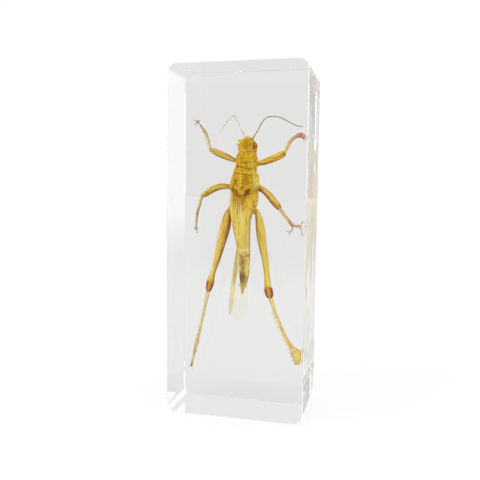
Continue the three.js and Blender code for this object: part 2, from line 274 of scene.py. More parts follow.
def loft(
    run: Run,
    rows: int,
    sides: int,
    ends: tuple[float, float] = (0.4, 0.4),
    relief: Relief | None = None,
    boxy: float = 1.0,
) -> Shell:
    """Carry an ellipse along a run and round it off at both ends.

    A point is centre + across * width * cos + deep * depth * sin. Both sizes are
    multiplied by the relief, and near an end by the sine of the angle of a quarter circle.

    Args:
        run: The line and its sizes.
        rows: Rings between the rounded ends.
        sides: Points of each ring.
        ends: Lengths of the rounded ends in millimetres.
        relief: Gives the factor of growth and the tint from t and the angle.
        boxy: Power of the sine and cosine; below 1 the section grows squarer.

    Returns:
        A closed shell with a single point at each end.
    """
    first, last = (end / run.length for end in ends)
    turn = 1 - np.cos(np.linspace(0, math.pi / 2, END_RINGS))[:-1]
    t = np.concatenate([first * turn, np.linspace(first, 1 - last, rows), 1 - last * turn[::-1]])
    centre, size, across, deep = run.read(t)
    from_start = 1 - np.clip(t / first, 0, 1)
    from_end = 1 - np.clip((1 - t) / last, 0, 1)
    closing = np.sqrt(np.clip(1 - from_start**2, 0, 1) * np.clip(1 - from_end**2, 0, 1))
    angle = 2 * math.pi * np.arange(sides) / sides
    cos = np.sign(np.cos(angle)) * np.abs(np.cos(angle)) ** boxy
    sin = np.sign(np.sin(angle)) * np.abs(np.sin(angle)) ** boxy
    grow = np.ones((len(t), sides))
    tint = np.zeros((len(t), sides))
    if relief:
        grow, tint = (np.broadcast_to(v, grow.shape) for v in relief(t[:, None], angle[None, :]))
    radius = grow * closing[:, None]
    rings = (
        centre[:, None]
        + across[:, None] * (size[:, :1] * cos * radius)[..., None]
        + deep[:, None] * (size[:, 1:] * sin * radius)[..., None]
    )
    place = np.stack(np.broadcast_arrays(cos[None, :], sin[None, :], t[:, None]), axis=-1)
    inner = slice(1, -1)
    return Shell(
        points=np.concatenate([rings[inner].reshape(-1, 3), centre[[0, -1]]]),
        place=np.concatenate([place[inner].reshape(-1, 3), [[0, 0, 0], [0, 0, 1]]]),
        tint=np.concatenate([tint[inner].ravel(), tint[[0, -1], 0]]),
        **tubes(1, len(t) - 2, sides),
    ).outward()


def walled(grid: np.ndarray, thickness: float, lift: np.ndarray, tint: np.ndarray) -> Shell:
    """Give a wall to a grid of points.

    The outer skin is the grid moved by the lift along its normals, and the inner skin
    lies behind it by the thickness. Four rims close the wall.

    Args:
        grid: Rows by columns of points, with the columns across and the rows along.
        thickness: Thickness in millimetres.
        lift: Height of the relief at each point, in millimetres.
        tint: Tint at each point.

    Returns:
        A closed shell.
    """
    rows, columns = grid.shape[:2]
    normal = unit(np.cross(np.gradient(grid, axis=1), np.gradient(grid, axis=0)))
    normal = normal * np.sign((normal @ FRONT).sum())
    outer = grid + normal * lift[..., None]
    inner = grid - normal * thickness
    skin = grid_faces(rows, columns, closed=False)
    size = rows * columns
    index = np.arange(size).reshape(rows, columns)
    border = np.concatenate([index[0, :-1], index[:-1, -1], index[-1, :0:-1], index[:0:-1, 0]])
    after = np.roll(border, -1)
    rim = np.stack([after, border, border + size, after + size], axis=1)
    u = np.broadcast_to(np.linspace(-1, 1, columns)[None, :], (rows, columns))
    v = np.broadcast_to(np.linspace(0, 1, rows)[:, None], (rows, columns))
    place = np.stack([u, np.zeros_like(u), v], axis=-1).reshape(-1, 3)
    return Shell(
        points=np.concatenate([outer.reshape(-1, 3), inner.reshape(-1, 3)]),
        quads=np.concatenate([skin, skin[:, ::-1] + size, rim]),
        triangles=np.zeros((0, 3), int),
        place=np.concatenate([place, place]),
        tint=np.concatenate([tint.ravel(), tint.ravel()]),
    ).outward()


def beads(centres: np.ndarray, radii: np.ndarray, rows: int = 8, sides: int = 12) -> Shell:
    """Ellipsoids: centre + radii * (sin v cos u, -cos v, sin v sin u), with poles along Y.

    Args:
        centres: One row of x, y, z for each bead.
        radii: One row of half sizes for each bead.
        rows: Rings of each bead.
        sides: Points of each ring.

    Returns:
        One shell with all the beads.
    """
    v = np.linspace(0, math.pi, rows + 2)[1:-1, None]
    u = 2 * math.pi * np.arange(sides)[None, :] / sides
    parts = np.broadcast_arrays(np.sin(v) * np.cos(u), -np.cos(v), np.sin(v) * np.sin(u))
    ball = np.concatenate([np.stack(parts, axis=-1).reshape(-1, 3), [[0, -1, 0], [0, 1, 0]]])
    centres, radii = np.atleast_2d(centres), np.atleast_2d(radii)
    return Shell(
        points=(centres[:, None] + radii[:, None] * ball).reshape(-1, 3),
        place=np.tile(ball, (len(centres), 1)),
        tint=np.zeros(len(centres) * len(ball)),
        **tubes(len(centres), rows, sides),
    ).outward()


def horns(feet: np.ndarray, tips: np.ndarray, radius: float, sag: Point = (0, 0, 0)) -> Shell:
    """Curved spines, all at once.

    A ring of a spine lies at foot + s * (tip - foot) + 4 s (1 - s) * sag, with the
    radius times (1 - s) to the power 0.7. The last ring stops a little short of the tip.

    Args:
        feet: One row for the foot of each spine.
        tips: One row for the point of each spine.
        radius: Radius at the foot.
        sag: How far the middle of each spine bends aside.

    Returns:
        One shell with all the spines, whose tint grows from foot to point.
    """
    rows, sides, reach = 6, 7, 0.93
    feet, tips = np.atleast_2d(feet).astype(float), np.atleast_2d(tips).astype(float)
    s = np.linspace(0, reach, rows)
    line = feet[:, None] + (tips - feet)[:, None] * s[None, :, None]
    line = line + (4 * s * (1 - s))[None, :, None] * np.asarray(sag, float)
    along = unit(tips - feet)
    across = unit(np.cross(along, FRONT + 0.13 * UP))
    deep = np.cross(along, across)
    angle = 2 * math.pi * np.arange(sides) / sides
    circle = across[:, None] * np.cos(angle)[:, None] + deep[:, None] * np.sin(angle)[:, None]
    width = radius * (1 - s) ** 0.7
    rings = line[:, :, None] + circle[:, None] * width[None, :, None, None]
    points = np.concatenate([rings.reshape(len(feet), -1, 3), feet[:, None], tips[:, None]], axis=1)
    tint = np.tile(np.concatenate([np.repeat(s, sides), [0, 1]]), len(feet))
    return Shell(
        points=points.reshape(-1, 3),
        place=np.stack([np.zeros_like(tint), np.zeros_like(tint), tint], axis=1),
        tint=tint,
        **tubes(len(feet), rows, sides),
    ).outward()


def melted(centre: Point, lumps: Sequence[tuple[float, ...]], rows: int, sides: int) -> Shell:
    """Blend several lumps that all hold one centre into one smooth body.

    Along each direction from the centre, the way out of lump k is the larger root d of
    |(centre + d * direction - middle) / radii| = 1. The point lies at the soft maximum
    of these, the twelfth root of the sum of their twelfth powers.

    Args:
        centre: A point inside all the lumps.
        lumps: Rows of [x, y, z, half width, half depth, half height].
        rows: Rings round the X axis.
        sides: Points of each ring.

    Returns:
        A closed shell.
    """
    power = 12
    sphere = beads(np.zeros((1, 3)), np.ones((1, 3)), rows, sides)
    way = unit(sphere.points[:, [1, 0, 2]])
    table = np.asarray(lumps, float)
    start = (np.asarray(centre, float) - table[:, :3]) / table[:, 3:]
    step = way[:, None] / table[None, :, 3:]
    a = (step**2).sum(-1)
    b = (step * start).sum(-1)
    c = (start**2).sum(-1) - 1
    out = (-b + np.sqrt(np.maximum(b**2 - a * c, 0))) / a
    reach = (np.maximum(out, 1e-3) ** power).sum(-1) ** (1 / power)
    sphere.points = np.asarray(centre) + way * reach[:, None]
    sphere.place = way
    return sphere.outward()


# ------------------------------------------------------------------------ colours

GOLD: Colour = (0.92, 0.62, 0.045)
OLIVE: Colour = (0.44, 0.24, 0.004)
UMBER: Colour = (0.25, 0.085, 0.003)
RUST: Colour = (0.36, 0.085, 0.008)
STRAW: Colour = (0.92, 0.76, 0.22)
BUFF: Colour = (0.88, 0.68, 0.27)
ROSE: Colour = (0.66, 0.32, 0.17)
WHITE: Colour = (1.0, 1.0, 1.0)


# ------------------------------------------------------------------------ materials


class Wire:
    """A number on its way through a material. Python's operators add Math nodes."""

    def __init__(self, book: NodeBook, socket: bpy.types.NodeSocket) -> None:
        """Wrap a socket of the given book of nodes."""
        self.book = book
        self.socket = socket

    def _math(self, operation: str, *values: Any) -> Wire:
        """A Math node with this operation on the values."""
        return self.book.wire("ShaderNodeMath", dict(enumerate(values)), operation=operation)

    def __add__(self, other: Wire | float) -> Wire:
        """This plus the other."""
        return self._math("ADD", self, other)

    __radd__ = __add__

    def __sub__(self, other: Wire | float) -> Wire:
        """This minus the other."""
        return self._math("SUBTRACT", self, other)

    def __rsub__(self, other: Wire | float) -> Wire:
        """The other minus this."""
        return self._math("SUBTRACT", other, self)

    def __mul__(self, other: Wire | float) -> Wire:
        """This times the other."""
        return self._math("MULTIPLY", self, other)

    __rmul__ = __mul__

    def __truediv__(self, other: Wire | float) -> Wire:
        """This divided by the other."""
        return self._math("DIVIDE", self, other)

    def __rtruediv__(self, other: Wire | float) -> Wire:
        """The other divided by this."""
        return self._math("DIVIDE", other, self)

    def __abs__(self) -> Wire:
        """This without its sign."""
        return self._math("ABSOLUTE", self)

    def between(self, low: float, high: float) -> Wire:
        """A smooth step.

        Args:
            low: Where the step is still 0.
            high: Where it is 1. It may lie below low, for a step that falls.

        Returns:
            The step, from 0 to 1.
        """
        limits = {0: self, 1: min(low, high), 2: max(low, high)}
        step = self.book.wire("ShaderNodeMapRange", limits, interpolation_type="SMOOTHSTEP")
        return step if low < high else 1 - step


class NodeBook:
    """The nodes of one material or room, and the one way in which nodes are added."""

    def __init__(self, name: str, of_room: bool = False) -> None:
        """Start an empty material or room.

        Args:
            name: Name of the material or room.
            of_room: Whether it is a room.
        """
        self.owner = (bpy.data.worlds if of_room else bpy.data.materials).new(name)
        self.owner.use_nodes = True
        self.tree = self.owner.node_tree
        self.tree.nodes.clear()

    def node(
        self, kind: str, inputs: Mapping[Any, Any] | None = None, **settings: Any
    ) -> bpy.types.Node:
        """Add a node.

        Args:
            kind: Blender's name of the node's type.
            inputs: Values, wires or sockets for its inputs, by name or number.
            **settings: Its properties, which are set first; "stops" gives a curve's points.

        Returns:
            The new node.
        """
        made = self.tree.nodes.new(kind)
        for name, value in settings.items():
            if name == "stops":
                self._set_stops(made.mapping, value)
            else:
                setattr(made, name, value)
        for name, value in (inputs or {}).items():
            if isinstance(value, Wire):
                self.tree.links.new(value.socket, made.inputs[name])
            elif isinstance(value, bpy.types.NodeSocket):
                self.tree.links.new(value, made.inputs[name])
            elif isinstance(value, tuple) and made.inputs[name].type == "RGBA":
                made.inputs[name].default_value = (*value[:3], 1.0)
            else:
                made.inputs[name].default_value = value
        return made

    @staticmethod
    def _set_stops(mapping: bpy.types.CurveMapping, stops: Stops) -> None:
        """Give a curve its points.

        Args:
            mapping: The curve.
            stops: Its points, from the first to the last.
        """
        points = mapping.curves[0].points
        for place, value in stops[1:-1]:
            points.new(place, value)
        points[0].location = stops[0]
        points[-1].location = stops[-1]
        mapping.update()

    def wire(self, kind: str, inputs: Mapping[Any, Any], output: int = 0, **settings: Any) -> Wire:
        """Add a node and take one of its outputs as a number."""
        return Wire(self, self.node(kind, inputs, **settings).outputs[output])

    def vector(self, operation: str, inputs: Mapping[Any, Any]) -> bpy.types.NodeSocket:
        """A Vector Math node's vector."""
        return self.node("ShaderNodeVectorMath", inputs, operation=operation).outputs[0]

    def turned(self, where: bpy.types.NodeSocket, degrees: float) -> bpy.types.NodeSocket:
        """A vector turned about the Y axis."""
        inputs = {"Vector": where, "Angle": math.radians(degrees)}
        return self.node("ShaderNodeVectorRotate", inputs, rotation_type="Y_AXIS").outputs[0]

    def millimetres(self) -> bpy.types.NodeSocket:
        """The place of a point on the object, in millimetres."""
        where = self.node("ShaderNodeTexCoord").outputs["Object"]
        return self.vector("SCALE", {0: where, "Scale": 1 / MM})

    def place(self) -> tuple[Wire, Wire, Wire]:
        """How far across, how deep and how far along the piece a point lies."""
        return self.split(self.stored_place())

    def stored_place(self) -> bpy.types.NodeSocket:
        """The place that the shape's maker stored on the surface."""
        return self.node("ShaderNodeAttribute", attribute_name="place").outputs["Vector"]

    def split(self, vector: bpy.types.NodeSocket) -> tuple[Wire, Wire, Wire]:
        """The three parts of a vector."""
        parts = self.node("ShaderNodeSeparateXYZ", {0: vector}).outputs
        return Wire(self, parts[0]), Wire(self, parts[1]), Wire(self, parts[2])

    def along_piece(self, over: float, along: float) -> bpy.types.NodeSocket:
        """The place on the piece, drawn out along it: over across and deep, along once."""
        return self.vector("MULTIPLY", {0: self.stored_place(), 1: (over, over, along)})

    def tint(self) -> Wire:
        """The tint that the shape's maker stored on the surface."""
        return self.wire("ShaderNodeAttribute", {}, output=2, attribute_name="tint")

    def strayed(self, where: Any, scale: float, reach: float) -> bpy.types.NodeSocket:
        """Move places aside by smooth noise.

        Args:
            where: The places.
            scale: Scale of the noise.
            reach: Twice the furthest way aside, in millimetres.

        Returns:
            The moved places.
        """
        inputs = {"Vector": where, "Scale": scale, "Detail": 2.0}
        drift = self.node("ShaderNodeTexNoise", inputs).outputs[1]
        centred = self.vector("SUBTRACT", {0: drift, 1: (0.5, 0.5, 0.5)})
        return self.vector("MULTIPLY_ADD", {0: centred, 1: (reach, reach, reach), 2: where})

    def noise(self, where: Any, scale: float, detail: float = 3.0, roughness: float = 0.55) -> Wire:
        """Cloudy noise from 0 to 1."""
        inputs = {"Vector": where, "Scale": scale, "Detail": detail, "Roughness": roughness}
        return self.wire("ShaderNodeTexNoise", inputs)

    def cells(self, where: Any, scale: float, feature: str = "DISTANCE_TO_EDGE") -> Wire:
        """Distance in a pattern of cells."""
        return self.wire("ShaderNodeTexVoronoi", {"Vector": where, "Scale": scale}, feature=feature)

    def mix(self, factor: Any, first: Any, second: Any) -> bpy.types.NodeSocket:
        """Two colours mixed by a factor."""
        inputs = {0: factor, 6: first, 7: second}
        return self.node("ShaderNodeMix", inputs, data_type="RGBA", clamp_factor=True).outputs[2]

    def finish(
        self, surface: Mapping[str, Any], height: Wire | None = None, depth: float = 0.0
    ) -> bpy.types.Material:
        """Close the material with a Principled shader.

        Args:
            surface: Values and links of the shader's inputs, by name.
            height: A relief that bends the light, or None.
            depth: Depth of that relief in metres.

        Returns:
            The finished material.
        """
        inputs = dict(surface)
        if height is not None:
            bent = {"Height": height, "Distance": depth, "Strength": 1.0}
            inputs["Normal"] = self.node("ShaderNodeBump", bent).outputs[0]
        shader = self.node("ShaderNodeBsdfPrincipled", inputs)
        self.node("ShaderNodeOutputMaterial", {"Surface": shader.outputs[0]})
        return self.owner


def flesh(colour: Any, roughness: Wire, shine: float, depth: float) -> dict[str, Any]:
    """Values for skin that light enters: its colour, roughness, shine and depth in metres."""
    return {
        "Base Color": colour,
        "Roughness": roughness,
        "Specular IOR Level": shine,
        "Subsurface Weight": 0.25,
        "Subsurface Radius": (1.0, 0.6, 0.2),
        "Subsurface Scale": depth,
    }


@dataclass(frozen=True)
class Patch:
    """A soft-edged area of colour round a point of the body, in millimetres."""

    centre: Point
    radii: Point
    colour: Colour
    strength: float = 1.0
    turn: float = 0.0


@dataclass(frozen=True)
class Chitin:
    """The dry, slightly translucent skin of head, thorax and abdomen."""

    name: str
    base: Colour
    second: Colour
    groove: Colour
    light: Colour
    patches: tuple[Patch, ...] = ()
    margin: Colour | None = None
    mottle: float = 0.8
    roughness: float = 0.42

    def material(self) -> bpy.types.Material:
        """Mottled skin with dark grooves, fine wandering lines, soft patches and pits.

        Returns:
            The material.
        """
        book = NodeBook(self.name)
        where = book.millimetres()
        wander = book.strayed(where, 0.9, 1.6)
        cloud = book.noise(wander, 0.75, 5.0, 0.65)
        grain = book.noise(wander, 1.9, 5.0, 0.7)
        fleck = book.noise(wander, 3.4, 4.0, 0.6)
        ridge = abs(book.noise(wander, 0.8, 2.0, 0.5) - 0.5)
        colour = book.mix(cloud.between(0.42, 0.58), self.base, self.second)
        colour = book.mix(grain.between(0.50, 0.68) * self.mottle, colour, self.groove)
        colour = book.mix(ridge.between(0.06, 0.0) * grain.between(0.3, 0.6) * 0.4, colour, self.groove)
        colour = book.mix(fleck.between(0.54, 0.72) * 0.75 * self.mottle, colour, self.light)
        far = book.strayed(where, 1.0, 1.5)
        for patch in self.patches:
            offset = book.vector("SUBTRACT", {0: far, 1: patch.centre})
            turned = book.turned(offset, patch.turn) if patch.turn else offset
            scaled = book.vector("DIVIDE", {0: turned, 1: patch.radii})
            reach = book.wire("ShaderNodeVectorMath", {0: scaled}, output=1, operation="LENGTH")
            cover = (reach + 1.6 * (grain - 0.5)).between(1.35, 0.55)
            colour = book.mix(cover * patch.strength, colour, patch.colour)
        # The front rim takes the margin colour: a paler rim that is in part a painted highlight along the
        # raised front edge.
        if self.margin:
            _, _, along = book.place()
            colour = book.mix((along + 0.01 * grain).between(0.035, 0.012) * 0.8, colour, self.margin)
        colour = book.mix(book.tint() * 0.85, colour, self.groove)
        pits = book.cells(where, 1.6, "F1")
        roughness = self.roughness - 0.12 * grain.between(0.4, 0.7)
        surface = flesh(colour, roughness, shine=0.1, depth=0.0006)
        return book.finish(surface, pits * 0.4 - grain * 1.1 + fleck * 0.5, 0.00022)


@dataclass(frozen=True)
class Limb:
    """The skin of a leg, which changes along the limb and from side to side."""

    name: str
    base: Colour
    stripe: Colour
    knee: Colour
    stripe_side: float = 0.0
    knee_from: float = 2.0
    far: Colour | None = None
    far_from: float = 0.5
    mottle: float = 0.5
    light: Colour = (0.97, 0.86, 0.36)
    joint: Colour = (0.72, 0.29, 0.03)
    strands: float = 5.0

    def material(self) -> bpy.types.Material:
        """Golden skin with a stripe on one side, darker ridges, a painted shade along both outer edges and
        a dark knee, partly painted shade at its flanks.

        Returns:
            The material.
        """
        book = NodeBook(self.name)
        where = book.millimetres()
        across, _, along = book.place()
        cloud = book.noise(where, 0.9, 4.0, 0.6)
        grain = book.noise(where, 4.0, 3.0, 0.6)
        strand = book.noise(book.along_piece(1.7, self.strands), 1.0, 4.0, 0.6)
        colour = book.mix(strand.between(0.50, 0.64) * self.mottle, self.base, self.stripe)
        if self.far:
            below = (along + 0.3 * cloud).between(self.far_from, self.far_from + 0.5)
            colour = book.mix(below, colour, self.far)
        if self.stripe_side:
            lean = across * self.stripe_side + 1.1 * (strand - 0.5) + 0.7 * (cloud - 0.5)
            colour = book.mix(lean.between(0.0, 0.7) * 0.9, colour, self.stripe)
        glow = strand.between(0.48, 0.34) * (0.35 + 0.65 * cloud.between(0.4, 0.6))
        colour = book.mix(glow * 0.7, colour, self.light)
        # Painted shade: both outer edges of the limb, as seen from the front, take the stripe colour.
        rim = (abs(across) + 0.4 * (strand - 0.5)).between(0.62, 1.0)
        colour = book.mix(rim * (0.25 if self.stripe_side else 0.6), colour, self.stripe)
        down = along + 0.06 * (cloud - 0.5) - 0.03 * abs(across)
        bend = down.between(self.knee_from, self.knee_from + 0.04)
        # The bend takes the joint colour; its flanks, as seen from the front, take the dark knee colour,
        # partly the knee's own colour and partly painted shade.
        flank = (abs(across) + 0.7 * (grain - 0.5) + 0.6 * (strand - 0.5)).between(0.2, 0.6)
        colour = book.mix(bend * 0.85, colour, self.joint)
        colour = book.mix(bend * flank * 0.95, colour, self.knee)
        colour = book.mix(book.tint() * 0.5, colour, self.stripe)
        surface = flesh(colour, 0.44 - 0.1 * grain, shine=0.08, depth=0.0007)
        return book.finish(surface, strand + grain * 0.4, 0.00012)


@dataclass(frozen=True)
class Horn:
    """Spines and claws: pale at the foot, dark at the point."""

    name: str
    foot: Colour
    point: Colour
    dark_from: float = 0.45

    def material(self) -> bpy.types.Material:
        """Glossy horn that darkens towards its point.

        Returns:
            The material.
        """
        book = NodeBook(self.name)
        grain = book.noise(book.millimetres(), 3.0)
        edge = (book.tint() + 0.2 * (grain - 0.5)).between(self.dark_from, self.dark_from + 0.3)
        colour = book.mix(edge, self.foot, self.point)
        return book.finish({"Base Color": colour, "Roughness": 0.3 + 0.1 * grain})


@dataclass(frozen=True)
class Eye:
    """A compound eye: a clouded dome with many small lenses, and a rim colour where it turns away from the
    front and downwards, which is a painted shade where that colour is dark.
    """

    name: str
    dome: Colour
    cloud: Colour
    rim: Colour

    def material(self) -> bpy.types.Material:
        """Clouded glossy dome with fine lenses.

        Returns:
            The material.
        """
        book = NodeBook(self.name)
        where = book.millimetres()
        _, deep, high = book.place()
        cloud = book.noise(where, 1.3, 3.0)
        colour = book.mix(cloud.between(0.4, 0.65), self.dome, self.cloud)
        # Painted shade where the rim colour is dark: the rim colour goes where the dome turns away from
        # the front and downwards, round its outline and lower side.
        colour = book.mix((deep - 0.55 * high + 0.4 * cloud).between(-0.5, 0.0), colour, self.rim)
        lenses = book.cells(where, 9.0)
        surface = {"Base Color": colour, "Roughness": 0.2 + 0.12 * cloud, "Specular IOR Level": 0.15}
        return book.finish(surface, lenses.between(0.0, 0.25), 0.00002)


@dataclass(frozen=True)
class Wing:
    """A wing's skin: streaks along it, darker veins, and an alpha that changes along it."""

    name: str
    base: Colour
    streak: Colour
    vein: Colour
    light: Colour
    solid: float
    tip: float
    fade_from: float = 0.35
    fade_to: float = 1.0
    edge: float = 0.0
    edge_side: float = -1.0
    edge_span: tuple[float, float] = (0.85, 0.55)
    wash: Colour | None = None
    root: Colour | None = None
    root_dark: Colour = UMBER
    band: Colour | None = None

    def material(self) -> bpy.types.Material:
        """Veined skin, whose alpha is one value at the root and another at the tip.

        Returns:
            The material.
        """
        book = NodeBook(self.name)
        where = book.millimetres()
        across, _, along = book.place()
        stretched = book.vector("MULTIPLY", {0: where, 1: (1.3, 1.0, 0.07)})
        streaks = book.noise(stretched, 1.0, 4.0, 0.6)
        fine = book.noise(stretched, 2.3, 4.0, 0.6)
        cloud = book.noise(where, 0.7, 4.0, 0.6)
        colour = book.mix(streaks.between(0.36, 0.68), self.base, self.streak)
        colour = book.mix((fine + 0.5 * (cloud - 0.5)).between(0.44, 0.70) * 0.6, colour, self.light)
        veins = book.tint()
        shade = (streaks - cloud).between(0.0, 0.22)
        colour = book.mix(shade * 0.45, colour, self.vein)
        colour = book.mix(veins * (0.06 + 0.34 * cloud.between(0.4, 0.65)), colour, self.vein)
        if self.wash:
            washed = across.between(0.25, -0.35) * along.between(0.38, 0.55) * cloud.between(0.3, 0.55)
            colour = book.mix(washed * 0.6, colour, self.wash)
        border = (across * self.edge_side + 0.12 * (cloud - 0.5)).between(0.80, 0.95) * self.edge
        colour = book.mix(border * along.between(*self.edge_span), colour, self.vein)
        if self.root:
            smear = (along + 0.35 * (fine - 0.5) + 0.5 * (streaks - 0.5)).between(0.30, 0.10)
            inner = across.between(1.0, 0.4)
            stain = book.mix(cloud.between(0.45, 0.62), self.root, self.root_dark)
            colour = book.mix(smear * inner * 0.9, colour, stain)
        if self.band:
            start, stop = self.fade_from, self.fade_to
            ridge = (along + 0.13 * (cloud - 0.5)).between(start - 0.03, start + 0.01)
            ending = (along + 0.11 * (cloud - 0.5)).between(stop + 0.02, start + 0.02)
            colour = book.mix(ridge * ending * 0.7, colour, self.band)
        fade = (along + 0.14 * (cloud - 0.5)).between(self.fade_from, self.fade_to)
        alpha = self.solid + (self.tip - self.solid) * fade + 0.12 * veins * self.solid
        surface = {
            "Base Color": colour,
            "Roughness": 0.3 + 0.25 * streaks,
            "Alpha": alpha.between(0.0, 1.0),
            "Specular IOR Level": 0.12,
        }
        return book.finish(surface, streaks + fine * 0.5, 0.00006)


@dataclass(frozen=True)
class Resin:
    """Clear casting resin: light passes through, bends and is dimmed a little."""

    name: str = "clear_resin"
    bend: float = 1.5
    tone: Colour = (0.84, 0.84, 0.835)
    absorbs: float = 3.0
    keeps: Colour = (0.50, 0.505, 0.49)

    def material(self) -> bpy.types.Material:
        """Plain transmission with constant absorption.

        Returns:
            The material.
        """
        book = NodeBook(self.name)
        clear = {
            "Base Color": self.tone,
            "Roughness": 0.0,
            "IOR": self.bend,
            "Transmission Weight": 1.0,
        }
        shader = book.node("ShaderNodeBsdfPrincipled", clear)
        haze = {"Color": self.keeps, "Density": self.absorbs}
        dims = book.node("ShaderNodeVolumeAbsorption", haze)
        ends = {"Surface": shader.outputs[0], "Volume": dims.outputs[0]}
        book.node("ShaderNodeOutputMaterial", ends)
        return book.owner


# ------------------------------------------------------------------------ the workshop


@dataclass
class Workshop:
    """Turns shells into finished pieces that ride on the model's body."""

    node: str
    slot: str
    body: str = "root"

    def mesh(self, name: str, shell: Shell) -> bpy.types.Mesh:
        """Write a shell into a mesh, in metres, with its place and tint.

        Args:
            name: Name of the mesh.
            shell: The surface.

        Returns:
            The mesh, all of it smooth.
        """
        mesh = bpy.data.meshes.new(name)
        corners = np.concatenate([shell.quads.ravel(), shell.triangles.ravel()]).astype(np.int32)
        sizes = np.concatenate([np.full(len(shell.quads), 4), np.full(len(shell.triangles), 3)])
        starts = np.concatenate([[0], np.cumsum(sizes)[:-1]]).astype(np.int32)
        mesh.vertices.add(len(shell.points))
        mesh.vertices.foreach_set("co", (shell.points * MM).astype(np.float32).ravel())
        mesh.loops.add(len(corners))
        mesh.loops.foreach_set("vertex_index", corners)
        mesh.polygons.add(len(sizes))
        mesh.polygons.foreach_set("loop_start", starts)
        mesh.polygons.foreach_set("use_smooth", np.ones(len(sizes), bool))
        mesh.update(calc_edges=True)
        place = mesh.attributes.new("place", "FLOAT_VECTOR", "POINT")
        place.data.foreach_set("vector", shell.place.astype(np.float32).ravel())
        tint = mesh.attributes.new("tint", "FLOAT", "POINT")
        tint.data.foreach_set("value", shell.tint.astype(np.float32))
        return mesh

    def piece(self, name: str, shell: Shell, material: bpy.types.Material) -> None:
        """Make a finished piece in place of the model's plain solid.

        Args:
            name: Name of the piece.
            shell: Its surface.
            material: Its finish.
        """
        mesh = self.mesh(name, shell)
        mesh.materials.append(material)
        piece = bpy.data.objects.new(name, mesh)
        bpy.context.scene.collection.objects.link(piece)
        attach(piece, self.body)
        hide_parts(self.node)
        LOG.info("%s: %d vertices, %d faces", name, len(shell.points), len(mesh.polygons))


# ------------------------------------------------------------------------ the insect


